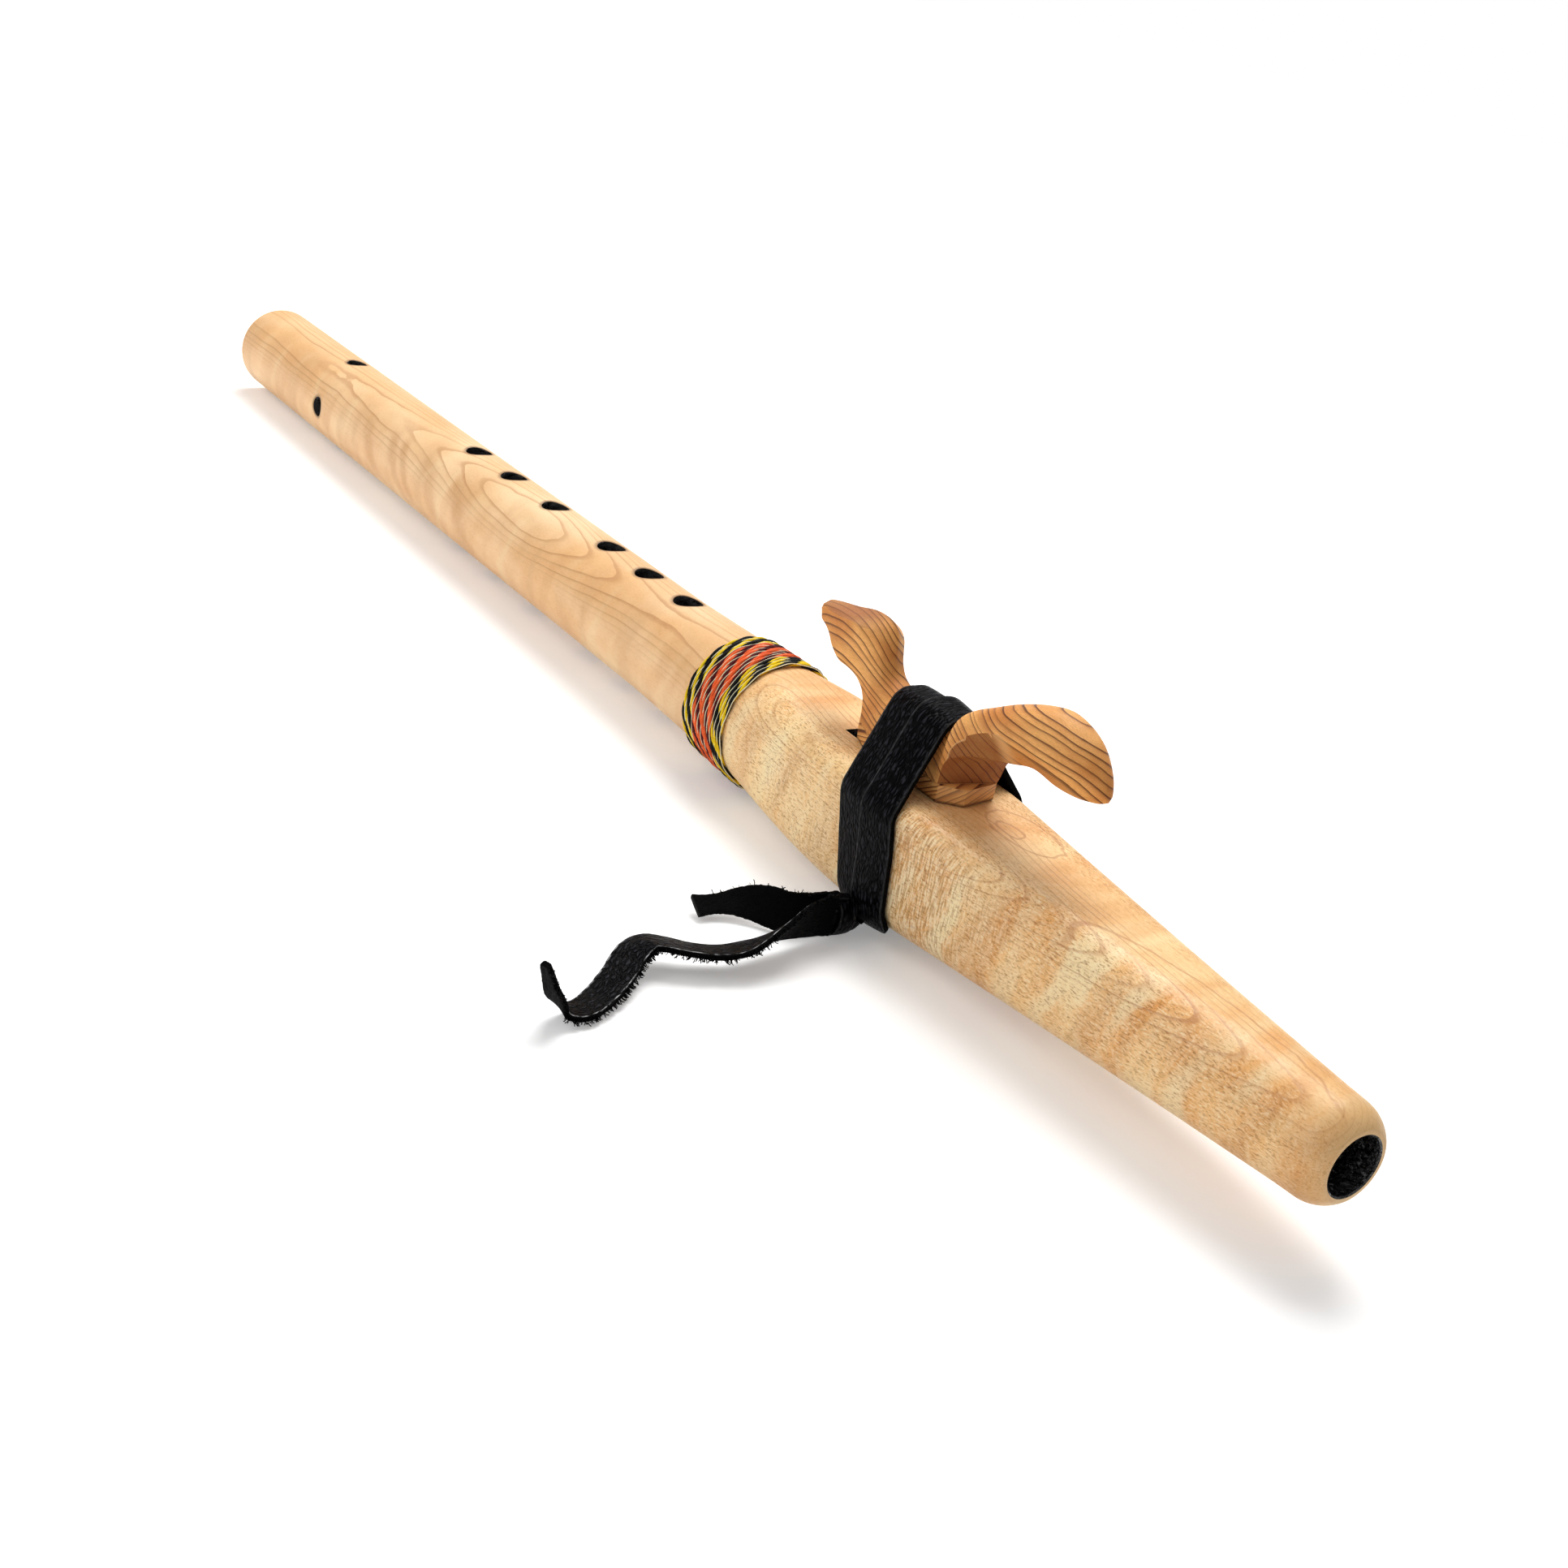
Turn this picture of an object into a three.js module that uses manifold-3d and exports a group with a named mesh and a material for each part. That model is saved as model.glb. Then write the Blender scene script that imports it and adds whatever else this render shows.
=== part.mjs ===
// Two-chambered cedar-and-maple love flute, in millimetres, lying on its belly.
// The row frame has +X from the foot to the mouth end, +Z up and the floor at zero.
// Everything but the lace's free tails is built in the flute's own frame: x is the
// distance from the foot end, and y and z are counted from the axis of the bore.
import * as THREE from 'three';
import { mergeVertices } from 'three/addons/utils/BufferGeometryUtils.js';
import { ConvexGeometry } from 'three/addons/geometries/ConvexGeometry.js';
import Module from 'manifold-3d';

const wasm = await Module();
wasm.setup();

// Body outline along its length
const footToFlare = 315.5;
const flareLength = 109;
const boxLength = 20;
const taperLength = 130.5;
const bodyLength = footToFlare + flareLength + boxLength + taperLength;
const swellLength = 55;
const nestRampLength = 33;

// Body outline across
const barrelRadius = 15.5;
const swellRadius = 17.1;
const boxHalfWidth = 19.3;
const nestHeight = 15;
const mouthRadius = 11.4;
const topCornerShare = 0.33;
const bellyCornerShare = 0.49;
const footRound = 3;
const mouthRoundLength = 6.5;
const mouthRoundDepth = 3.4;
const mouthRoundPowerShare = 1.6;

// Chambers and windway
const boreRadius = 11.1;
const mouthBoreRadius = 6.7;
const plugLength = 16;
const chamberLength = 74;
const chamberNeckLength = 35;
const footToSplittingEdge = 404.5;
const soundHoleLength = 4.8;
const soundHoleHalfWidth = 5.3;
const boreEndMargin = 1.2;
const flueLength = 19;
const flueDepth = 1.2;
const airExitLength = 5.5;

// Finger and direction holes
const footToFirstHole = 182;
const fingerHoleSpacings = [26, 29, 36.4, 22.8, 22.2];
const fingerHoleRadius = 4.2;
const footToTopDirectionHoles = 77.2;
const footToSideDirectionHoles = 81.6;
const directionHoleRadius = 3.45;

// Bird block
const birdLength = 109.4;
const birdHeight = 34.2;
const blockHalfWidth = 8;
const blockFrontHalfWidth = 5.2;
const blockFlareLength = 7;
const blockLength = 36;
const blockProwLength = 2.8;
const blockBandHeight = 4.1;
const beakOverhang = 28.8;
const blockStartShare = 0.263;
const blockEndShare = 0.592;
const saddleHeight = 15.5;
const saddleRadius = 5.3;
const saddleFlatHalfWidth = 1.4;
const blockSeatGap = 0.2;

// Lace
const laceWidth = 10.6;
const laceThickness = 1.4;
const laceTurns = 2;
const laceTurnGap = 0.45;
const laceLayerGap = 0.4;
const laceSeatGap = 0.3;
const laceLeanShare = 0.28;
const blockFrontToLaceShare = 0.453;
const laceEdgeEase = 0.3;
const knotLength = 10.5;
const knotDepth = 7;
const knotHeight = 6.4;
const knotGap = 0.4;
const tailReach = 100;

// Thread wrap
const footToWrap = 350.2;
const threadDiameter = 0.75;
const threadPitch = 1.2;
const threadSeatGap = 0.3;
const footBandLoops = 4;
const middleBandLoops = 7;
const headBandLoops = 4;

// One overrun serves every cut
const overrun = 5;

// Facets
const cornerFacets = 12;
const holeFacets = 24;
const footSteps = 4;
const flareSteps = 20;
const taperSteps = 5;
const mouthSteps = 5;
const boreFacets = 48;
const crownFacets = 5;
const keelBendShare = 0.5;
const loopSteps = 24;
const threadSides = 6;
const lacePlacesPerBend = 6;
const lacePlacesPerRun = 4;
const tailStepsPerPoint = 2;
const knotSides = 16;

// Heights and stations that follow from the sizes above
const flareEnd = footToFlare + flareLength;
const taperStart = flareEnd + boxLength;
const swellEnd = footToFlare + swellLength;
const soundHoleEnd = footToSplittingEdge + soundHoleLength;
const soundBoreEnd = soundHoleEnd + boreEndMargin;
const airChamberStart = soundBoreEnd + plugLength;
const airExitStart = soundHoleEnd + flueLength;
const laceStation = soundHoleEnd + blockFrontToLaceShare * blockLength;
const lacePitch = laceWidth + laceTurnGap;
const laceLayerStep = laceThickness + laceLayerGap;
const axisHeight = swellRadius + laceSeatGap + laceLayerStep + laceThickness;

// Materials, with colours from the finished flute
const maple = new THREE.MeshStandardMaterial({ color: 0xdcae74, roughness: 0.42 });
const cedar = new THREE.MeshStandardMaterial({ color: 0xa8683c, roughness: 0.5 });
const leather = new THREE.MeshStandardMaterial({ color: 0x15151a, roughness: 0.6 });
const amberThread = new THREE.MeshStandardMaterial({ color: 0xd9a021, roughness: 0.7 });
const redThread = new THREE.MeshStandardMaterial({ color: 0xb5452b, roughness: 0.7 });

function clamp01(value) {
  return Math.min(1, Math.max(0, value));
}

function mix(from, to, share) {
  return from + (to - from) * share;
}

function ease(value) {
  const share = clamp01(value);
  return share * share * (3 - 2 * share);
}

// A closed solid through rings of points that all have the same count
function loft(rings) {
  const count = rings[0].length;
  const positions = rings.flat().flatMap((point) => [point.x, point.y, point.z]);
  const index = [];
  for (let ring = 0; ring < rings.length - 1; ring++) {
    for (let k = 0; k < count; k++) {
      const here = ring * count + k;
      const next = ring * count + ((k + 1) % count);
      index.push(here, next, here + count, next, next + count, here + count);
    }
  }
  const last = (rings.length - 1) * count;
  for (let k = 1; k < count - 1; k++) {
    index.push(0, k + 1, k);
    index.push(last, last + k, last + k + 1);
  }
  const geometry = new THREE.BufferGeometry();
  geometry.setAttribute('position', new THREE.Float32BufferAttribute(positions, 3));
  geometry.setIndex(index);
  return outward(geometry);
}

// Turns the faces round where a solid's signed volume says that they point in
function outward(geometry) {
  const position = geometry.attributes.position;
  const index = geometry.index.array;
  const a = new THREE.Vector3();
  const b = new THREE.Vector3();
  const c = new THREE.Vector3();
  let volume = 0;
  for (let k = 0; k < index.length; k += 3) {
    a.fromBufferAttribute(position, index[k]);
    b.fromBufferAttribute(position, index[k + 1]);
    c.fromBufferAttribute(position, index[k + 2]);
    volume += a.dot(b.cross(c));
  }
  if (volume < 0) {
    for (let k = 0; k < index.length; k += 3) {
      const keep = index[k];
      index[k] = index[k + 1];
      index[k + 1] = keep;
    }
  }
  return geometry;
}

function toManifold(geometry) {
  const bare = geometry.clone();
  bare.deleteAttribute('normal');
  bare.deleteAttribute('uv');
  const merged = mergeVertices(bare);
  return new wasm.Manifold(new wasm.Mesh({
    numProp: 3,
    vertProperties: new Float32Array(merged.attributes.position.array),
    triVerts: new Uint32Array(merged.index.array),
  }));
}

function fromManifold(solid) {
  const mesh = solid.getMesh();
  const geometry = new THREE.BufferGeometry();
  geometry.setAttribute('position', new THREE.BufferAttribute(mesh.vertProperties, 3));
  geometry.setIndex(new THREE.BufferAttribute(mesh.triVerts, 1));
  return geometry;
}

function boxSolid(low, high) {
  const size = new THREE.Vector3().subVectors(high, low);
  const middle = new THREE.Vector3().addVectors(low, high).multiplyScalar(0.5);
  const geometry = new THREE.BoxGeometry(size.x, size.y, size.z);
  return toManifold(geometry.translate(middle.x, middle.y, middle.z));
}

// A round hole from the axis outwards, at an angle round the body from the top
function radialHole(radius, fromFoot, turn) {
  const reach = boxHalfWidth + overrun;
  const geometry = new THREE.CylinderGeometry(radius, radius, reach, holeFacets);
  geometry.rotateX(Math.PI / 2);
  geometry.translate(0, 0, reach / 2);
  geometry.rotateX(turn);
  return toManifold(geometry.translate(fromFoot, 0, 0));
}

// A round bore along the axis whose radius changes from station to station
function axialBore(stations) {
  const profile = stations.map(([fromFoot, radius]) => new THREE.Vector2(radius, fromFoot));
  profile.unshift(new THREE.Vector2(0, stations[0][0]));
  profile.push(new THREE.Vector2(0, stations[stations.length - 1][0]));
  const geometry = new THREE.LatheGeometry(profile, boreFacets);
  return toManifold(geometry.rotateZ(-Math.PI / 2));
}

// The body's rounded section at a station: half width, height over the axis, depth
// under it, and the corner radii above and below
function sectionAt(fromFoot) {
  const swell = clamp01((fromFoot - footToFlare) / swellLength);
  const flare = clamp01((fromFoot - swellEnd) / (flareEnd - swellEnd));
  const nest = ease((fromFoot - swellEnd) / nestRampLength);
  const square = Math.sin(flare * Math.PI / 2);
  const taper = clamp01((fromFoot - taperStart) / (bodyLength - mouthRoundLength - taperStart));
  const round = mix(barrelRadius, swellRadius, swell);
  const halfWidth = mix(mix(round, boxHalfWidth, flare), mouthRadius, taper);
  const top = mix(mix(round, nestHeight, nest), mouthRadius, taper);
  const belly = mix(round, mouthRadius, taper);
  const topShare = mix(mix(1, topCornerShare, square), 1, taper);
  const bellyShare = mix(mix(1, bellyCornerShare, square), 1, taper);
  return {
    halfWidth,
    top,
    belly,
    topCorner: topShare * Math.min(halfWidth, top),
    bellyCorner: bellyShare * Math.min(halfWidth, belly),
  };
}

// Points round the section, counted from +Y over the top. The facets touch the true
// outline at their middles, so that the nest and the belly stay exactly flat.
function sectionRing(fromFoot, inset) {
  const section = sectionAt(fromFoot);
  const step = Math.PI / 2 / cornerFacets;
  const ring = [];
  for (let corner = 0; corner < 4; corner++) {
    const upper = corner < 2;
    const radius = (upper ? section.topCorner : section.bellyCorner) - inset;
    const height = (upper ? section.top : section.belly) - inset;
    const sideSign = corner === 0 || corner === 3 ? 1 : -1;
    const centreY = sideSign * (section.halfWidth - inset - radius);
    const centreZ = (upper ? 1 : -1) * (height - radius);
    for (let k = 0; k < cornerFacets; k++) {
      const angle = corner * Math.PI / 2 + (k + 0.5) * step;
      const reach = radius / Math.cos(step / 2);
      ring.push(new THREE.Vector3(
        fromFoot,
        centreY + reach * Math.cos(angle),
        centreZ + reach * Math.sin(angle),
      ));
    }
  }
  return ring;
}

function bodyOutline() {
  const rings = [];
  for (let k = footSteps; k >= 0; k--) {
    const angle = (k / footSteps) * Math.PI / 2;
    rings.push(sectionRing(footRound * (1 - Math.sin(angle)), footRound * (1 - Math.cos(angle))));
  }
  for (let k = 0; k <= flareSteps; k++) {
    rings.push(sectionRing(mix(footToFlare, flareEnd, k / flareSteps), 0));
  }
  const taperEnd = bodyLength - mouthRoundLength;
  for (let k = 0; k <= taperSteps; k++) {
    rings.push(sectionRing(mix(taperStart, taperEnd, k / taperSteps), 0));
  }
  for (let k = 1; k <= mouthSteps; k++) {
    const angle = (k / mouthSteps) * Math.PI / 2;
    const inset = mouthRoundDepth * (1 - Math.pow(Math.cos(angle), mouthRoundPowerShare));
    rings.push(sectionRing(taperEnd + mouthRoundLength * Math.sin(angle), inset));
  }
  return toManifold(loft(rings));
}

function fingerHoleStations() {
  const stations = [footToFirstHole];
  for (const spacing of fingerHoleSpacings) {
    stations.push(stations[stations.length - 1] + spacing);
  }
  return stations;
}

// The whole body with its chambers, windway and holes, before it is split
function bodySolid() {
  let body = bodyOutline();
  body = body.subtract(axialBore([[-overrun, boreRadius], [soundBoreEnd, boreRadius]]));
  const chamberEnd = airChamberStart + chamberLength;
  body = body.subtract(axialBore([
    [airChamberStart, boreRadius],
    [chamberEnd, boreRadius],
    [chamberEnd + chamberNeckLength, mouthBoreRadius],
    [bodyLength + overrun, mouthBoreRadius],
  ]));
  for (const station of fingerHoleStations()) {
    body = body.subtract(radialHole(fingerHoleRadius, station, 0));
  }
  for (const turn of [0, Math.PI]) {
    body = body.subtract(radialHole(directionHoleRadius, footToTopDirectionHoles, turn));
  }
  for (const turn of [-Math.PI / 2, Math.PI / 2]) {
    body = body.subtract(radialHole(directionHoleRadius, footToSideDirectionHoles, turn));
  }
  const airExitEnd = airExitStart + airExitLength;
  const windway = [
    [footToSplittingEdge, soundHoleEnd, 0],
    [airExitStart, airExitEnd, 0],
    [footToSplittingEdge, airExitEnd, nestHeight - flueDepth],
  ];
  for (const [start, end, floor] of windway) {
    body = body.subtract(boxSolid(
      new THREE.Vector3(start, -soundHoleHalfWidth, floor),
      new THREE.Vector3(end, soundHoleHalfWidth, nestHeight + overrun),
    ));
  }
  return body;
}

// The two glued staves meet on the plane of the axis
function bodyHalf(body, upper) {
  const reach = boxHalfWidth + overrun;
  const half = body.intersect(boxSolid(
    new THREE.Vector3(-overrun, -reach, upper ? 0 : -reach),
    new THREE.Vector3(bodyLength + overrun, reach, upper ? reach : 0),
  ));
  return fromManifold(half);
}

// Ribs of the bird from beak to tail tip. Each has its lower and upper end as shares
// of the bird's length and height, its half width as a share of the block's, the level
// of its widest point up the rib, how straight its crown falls away, how wide its keel
// is left, and how far the far side trails behind the near one.
const birdRibShares = [
  [0.002, 0.602, 0.003, 0.708, 0.212, 0.50, 0.80, 0.75, 0.00],
  [0.012, 0.585, 0.015, 0.737, 0.325, 0.60, 0.90, 0.70, 0.00],
  [0.039, 0.567, 0.059, 0.772, 0.438, 0.66, 1.00, 0.70, 0.00],
  [0.069, 0.538, 0.119, 0.810, 0.575, 0.68, 1.00, 0.75, 0.00],
  [0.091, 0.491, 0.174, 0.854, 0.675, 0.72, 1.00, 0.75, 0.00],
  [0.112, 0.444, 0.216, 0.865, 0.713, 0.76, 1.00, 0.72, 0.00],
  [0.133, 0.415, 0.250, 0.848, 0.688, 0.66, 1.00, 0.74, 0.00],
  [0.161, 0.398, 0.272, 0.789, 0.613, 0.60, 0.95, 0.70, 0.00],
  [0.191, 0.374, 0.278, 0.696, 0.562, 0.55, 0.90, 0.72, 0.00],
  [0.219, 0.327, 0.282, 0.608, 0.562, 0.50, 0.85, 0.76, 0.00],
  [0.240, 0.263, 0.294, 0.526, 0.613, 0.45, 0.80, 0.80, 0.00],
  [0.254, 0.170, 0.316, 0.477, 0.688, 0.40, 0.76, 0.84, 0.00],
  [0.261, 0.064, 0.347, 0.453, 0.775, 0.34, 0.74, 0.84, 0.00],
  [0.269, 0.006, 0.375, 0.450, 0.900, 0.40, 0.72, 0.76, 0.00],
  [0.338, 0.006, 0.402, 0.450, 0.988, 0.20, 0.72, 0.98, 0.00],
  [0.457, 0.006, 0.475, 0.453, 0.988, 0.16, 0.72, 1.00, 0.00],
  [0.572, 0.006, 0.570, 0.456, 0.988, 0.16, 0.72, 1.00, 0.00],
  [0.585, 0.117, 0.583, 0.532, 0.988, 0.10, 0.68, 1.00, 0.00],
  [0.592, 0.287, 0.592, 0.620, 0.975, 0.10, 0.66, 1.00, 0.12],
  [0.612, 0.409, 0.625, 0.702, 0.988, 0.14, 0.70, 1.00, 0.20],
  [0.640, 0.497, 0.664, 0.778, 1.000, 0.22, 0.76, 0.80, 0.16],
  [0.679, 0.520, 0.708, 0.860, 1.012, 0.36, 0.84, 0.50, 0.08],
  [0.731, 0.515, 0.764, 0.930, 1.025, 0.44, 0.90, 0.30, 0.00],
  [0.795, 0.515, 0.824, 0.977, 1.000, 0.46, 0.94, 0.24, 0.00],
  [0.864, 0.532, 0.881, 0.959, 0.887, 0.47, 0.96, 0.24, 0.00],
  [0.923, 0.550, 0.930, 0.895, 0.700, 0.48, 0.96, 0.26, 0.00],
  [0.969, 0.573, 0.970, 0.789, 0.425, 0.49, 0.95, 0.30, 0.00],
  [0.993, 0.588, 0.993, 0.684, 0.200, 0.50, 0.90, 0.40, 0.00],
  [1.000, 0.602, 1.000, 0.632, 0.075, 0.50, 0.90, 0.50, 0.00],
];

// Distance from the block's front for a share of the bird's length. The head keeps to
// the overhang before the block, the saddle to the block and the tail to the rest.
function birdStation(share) {
  if (share < blockStartShare) {
    return mix(-beakOverhang, 0, share / blockStartShare);
  }
  if (share < blockEndShare) {
    return mix(0, blockLength, (share - blockStartShare) / (blockEndShare - blockStartShare));
  }
  const tailLength = birdLength - beakOverhang - blockLength;
  return blockLength + tailLength * (share - blockEndShare) / (1 - blockEndShare);
}

// One rib of the bird, up the near side from the keel's corner and down the far side
function birdRib(shares) {
  const [lowX, lowZ, highX, highZ, width, edge, crown, keel, skew] = shares;
  const low = new THREE.Vector3(birdStation(lowX), 0, lowZ * birdHeight);
  const high = new THREE.Vector3(birdStation(highX), 0, highZ * birdHeight);
  const outline = [[keel, 0], [mix(keel, 1, keelBendShare), edge * keelBendShare]];
  for (let k = 0; k <= crownFacets; k++) {
    const angle = (k / crownFacets) * Math.PI / 2;
    const across = Math.pow(Math.max(0, Math.cos(angle)), crown);
    outline.push([k === crownFacets ? 0 : across, mix(edge, 1, Math.pow(Math.sin(angle), crown))]);
  }
  const farSide = outline.slice(0, -1).reverse().map(([across, level]) => [-across, level]);
  return [...outline, ...farSide].map(([across, level]) => {
    const point = low.clone().lerp(high, level);
    point.y = -across * width * blockHalfWidth;
    point.x += skew * (point.y + width * blockHalfWidth);
    return point;
  });
}

// Outline of the block's foot on the nest, blunt at the windway and a prow behind
function blockOutline(height) {
  const corners = [
    [0, -blockFrontHalfWidth],
    [blockFlareLength, -blockHalfWidth],
    [blockLength, -blockHalfWidth],
    [blockLength + blockProwLength, 0],
    [blockLength, blockHalfWidth],
    [blockFlareLength, blockHalfWidth],
    [0, blockFrontHalfWidth],
  ];
  return corners.map(([x, y]) => new THREE.Vector3(x, y, height));
}

function birdBlock() {
  const band = new ConvexGeometry([...blockOutline(0), ...blockOutline(blockBandHeight)]);
  const bird = loft(birdRibShares.map(birdRib));
  return fromManifold(toManifold(band).add(toManifold(bird)));
}

// Belt round circles that are listed clockwise as seen from the foot end, as places
// with outward normals
function beltPlaces(circles, bendSteps, runSteps) {
  const leaving = circles.map((circle, k) => {
    const next = circles[(k + 1) % circles.length];
    const along = Math.atan2(next.z - circle.z, next.y - circle.y);
    const distance = Math.hypot(next.y - circle.y, next.z - circle.z);
    return along + Math.acos((circle.radius - next.radius) / distance);
  });
  const places = [];
  circles.forEach((circle, k) => {
    const arriving = leaving[(k + circles.length - 1) % circles.length];
    const fullTurn = 2 * Math.PI;
    const bend = (((arriving - leaving[k]) % fullTurn) + fullTurn) % fullTurn;
    for (let step = 0; step <= bendSteps; step++) {
      const angle = arriving - bend * (step / bendSteps);
      places.push({
        y: circle.y + circle.radius * Math.cos(angle),
        z: circle.z + circle.radius * Math.sin(angle),
        normalY: Math.cos(angle),
        normalZ: Math.sin(angle),
      });
    }
    const next = circles[(k + 1) % circles.length];
    const from = places[places.length - 1];
    for (let step = 1; step < runSteps; step++) {
      places.push({
        y: mix(from.y, next.y + next.radius * from.normalY, step / runSteps),
        z: mix(from.z, next.z + next.radius * from.normalZ, step / runSteps),
        normalY: from.normalY,
        normalZ: from.normalZ,
      });
    }
  });
  return places;
}

// One turn of the lace's middle surface in the section plane. It starts half way round
// the near belly corner and goes up the near side, over the saddle and back underneath.
function laceTurn() {
  const section = sectionAt(flareEnd);
  const grow = laceSeatGap + laceThickness / 2;
  const bellyY = section.halfWidth - section.bellyCorner;
  const bellyZ = section.bellyCorner - section.belly;
  const shoulderY = section.halfWidth - section.topCorner;
  const shoulderZ = section.top - section.topCorner;
  const saddleZ = nestHeight + blockSeatGap + saddleHeight - saddleRadius;
  const nearCircles = [
    { y: -bellyY, z: bellyZ, radius: section.bellyCorner + grow },
    { y: -shoulderY, z: shoulderZ, radius: section.topCorner + grow },
    { y: -saddleFlatHalfWidth, z: saddleZ, radius: saddleRadius + grow },
  ];
  const farCircles = nearCircles.map((circle) => ({ ...circle, y: -circle.y })).reverse();
  const places = beltPlaces([...nearCircles, ...farCircles], lacePlacesPerBend, lacePlacesPerRun);
  const start = lacePlacesPerBend / 2;
  const ordered = [...places.slice(start), ...places.slice(0, start + 1)];
  const onBelly = (place) => place.normalZ < -Math.cos(Math.PI / (8 * lacePlacesPerBend));
  const firstOnBelly = ordered.findIndex(onBelly);
  return ordered.map((place, k) => {
    const past = k > firstOnBelly && !onBelly(place) ? 1 : 0;
    const crossing = onBelly(place) ? ease((bellyY - place.y) / (2 * bellyY)) : past;
    const leaving = place.y > 0 ? clamp01(-place.normalZ) : 0;
    return { ...place, crossing, underneath: k >= firstOnBelly ? 1 : ease(leaving) };
  });
}

// Cross section of a flat strap with eased edges
function strapRing(centre, across, normal, width) {
  const side = width / 2;
  const face = laceThickness / 2;
  const corners = [
    [side, face - laceEdgeEase],
    [side - laceEdgeEase, face],
    [laceEdgeEase - side, face],
    [-side, face - laceEdgeEase],
    [-side, laceEdgeEase - face],
    [laceEdgeEase - side, -face],
    [side - laceEdgeEase, -face],
    [side, laceEdgeEase - face],
  ];
  return corners.map(([right, out]) => centre.clone()
    .addScaledVector(across, right)
    .addScaledVector(normal, out));
}

// The strip that ties the bird down, in one length: two turns side by side. The first
// crosses over by one pitch on the belly and the last crosses back beneath it.
function laceWrap() {
  const turn = laceTurn();
  const top = Math.max(...turn.map((place) => place.z));
  const along = new THREE.Vector3(1, 0, 0);
  const rings = [];
  for (let count = 0; count < laceTurns; count++) {
    const last = count === laceTurns - 1;
    for (const place of count > 0 ? turn.slice(1) : turn) {
      const shift = last ? count * (1 - place.crossing) : count + place.crossing;
      const out = last ? laceLayerStep * place.underneath : 0;
      const centre = new THREE.Vector3(
        laceStation + lacePitch * shift + laceLeanShare * (top - place.z),
        place.y + out * place.normalY,
        place.z + out * place.normalZ,
      );
      const normal = new THREE.Vector3(0, place.normalY, place.normalZ);
      rings.push(strapRing(centre, along, normal, laceWidth));
    }
  }
  return loft(rings);
}

// Routes of the two free ends over the floor, as shares of the tail reach: along the
// flute, across it and up, then the share of the full width and the roll in shares of
// a half turn, where zero lies flat and a half stands on edge.
const longTailRouteShares = [
  [1.534, -0.269, 0.058, 0.95, 0.470],
  [1.536, -0.305, 0.061, 0.95, 0.450],
  [1.556, -0.370, 0.068, 0.94, 0.330],
  [1.586, -0.473, 0.062, 0.88, 0.080],
  [1.602, -0.557, 0.048, 0.80, -0.050],
  [1.594, -0.615, 0.042, 0.78, -0.080],
  [1.573, -0.677, 0.046, 0.76, -0.080],
  [1.545, -0.724, 0.050, 0.75, -0.060],
  [1.531, -0.764, 0.050, 0.74, -0.030],
  [1.550, -0.811, 0.040, 0.73, 0.000],
  [1.600, -0.868, 0.026, 0.72, 0.010],
  [1.651, -0.934, 0.015, 0.70, 0.000],
  [1.687, -0.994, 0.011, 0.68, 0.000],
  [1.693, -1.033, 0.014, 0.64, 0.000],
  [1.691, -1.059, 0.036, 0.56, 0.000],
  [1.700, -1.086, 0.080, 0.44, 0.000],
  [1.705, -1.104, 0.120, 0.32, 0.000],
  [1.709, -1.116, 0.146, 0.22, 0.000],
];
const shortTailRouteShares = [
  [1.504, -0.269, 0.053, 0.95, 0.467],
  [1.502, -0.287, 0.053, 0.94, 0.462],
  [1.499, -0.305, 0.052, 0.92, 0.456],
  [1.493, -0.327, 0.051, 0.90, 0.445],
  [1.484, -0.346, 0.050, 0.88, 0.433],
  [1.470, -0.362, 0.048, 0.86, 0.412],
  [1.453, -0.374, 0.047, 0.84, 0.389],
  [1.433, -0.384, 0.045, 0.82, 0.350],
  [1.413, -0.397, 0.042, 0.80, 0.311],
  [1.395, -0.414, 0.037, 0.77, 0.261],
  [1.381, -0.434, 0.032, 0.74, 0.211],
  [1.372, -0.459, 0.028, 0.70, 0.180],
  [1.366, -0.484, 0.025, 0.66, 0.156],
  [1.362, -0.508, 0.023, 0.62, 0.140],
  [1.359, -0.532, 0.022, 0.55, 0.130],
];

// A strip of lace along a route of shares, with its width and roll eased in between
function laceTail(routeShares) {
  const points = routeShares.map(([x, y, z]) => new THREE.Vector3(x, y, z)
    .multiplyScalar(tailReach));
  const curve = new THREE.CatmullRomCurve3(points, false, 'centripetal');
  const rings = [];
  const steps = (points.length - 1) * tailStepsPerPoint;
  for (let step = 0; step <= steps; step++) {
    const place = step / tailStepsPerPoint;
    const from = Math.min(Math.floor(place), points.length - 2);
    const share = place - from;
    const width = laceWidth * mix(routeShares[from][3], routeShares[from + 1][3], share);
    const roll = Math.PI * mix(routeShares[from][4], routeShares[from + 1][4], share);
    const tangent = curve.getTangent(step / steps);
    const level = new THREE.Vector3(tangent.y, -tangent.x, 0).normalize();
    const rise = new THREE.Vector3().crossVectors(tangent, level).normalize();
    rise.multiplyScalar(Math.sign(rise.z) || 1);
    const across = level.multiplyScalar(Math.cos(roll)).addScaledVector(rise, Math.sin(roll));
    const normal = new THREE.Vector3().crossVectors(across, tangent).normalize();
    rings.push(strapRing(curve.getPoint(step / steps), across, normal, width));
  }
  return loft(rings);
}

// Knot outside the near belly corner: a strip pulled tight round the two lace ends,
// fuller in its middle and waisted where the strip bites
const knotRibShares = [
  [0.00, 0.55, 0.60],
  [0.06, 0.80, 0.82],
  [0.22, 0.96, 0.98],
  [0.36, 0.90, 0.88],
  [0.42, 1.00, 1.00],
  [0.58, 1.00, 1.00],
  [0.64, 0.90, 0.88],
  [0.78, 0.96, 0.98],
  [0.94, 0.80, 0.82],
  [1.00, 0.55, 0.60],
];

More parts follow.
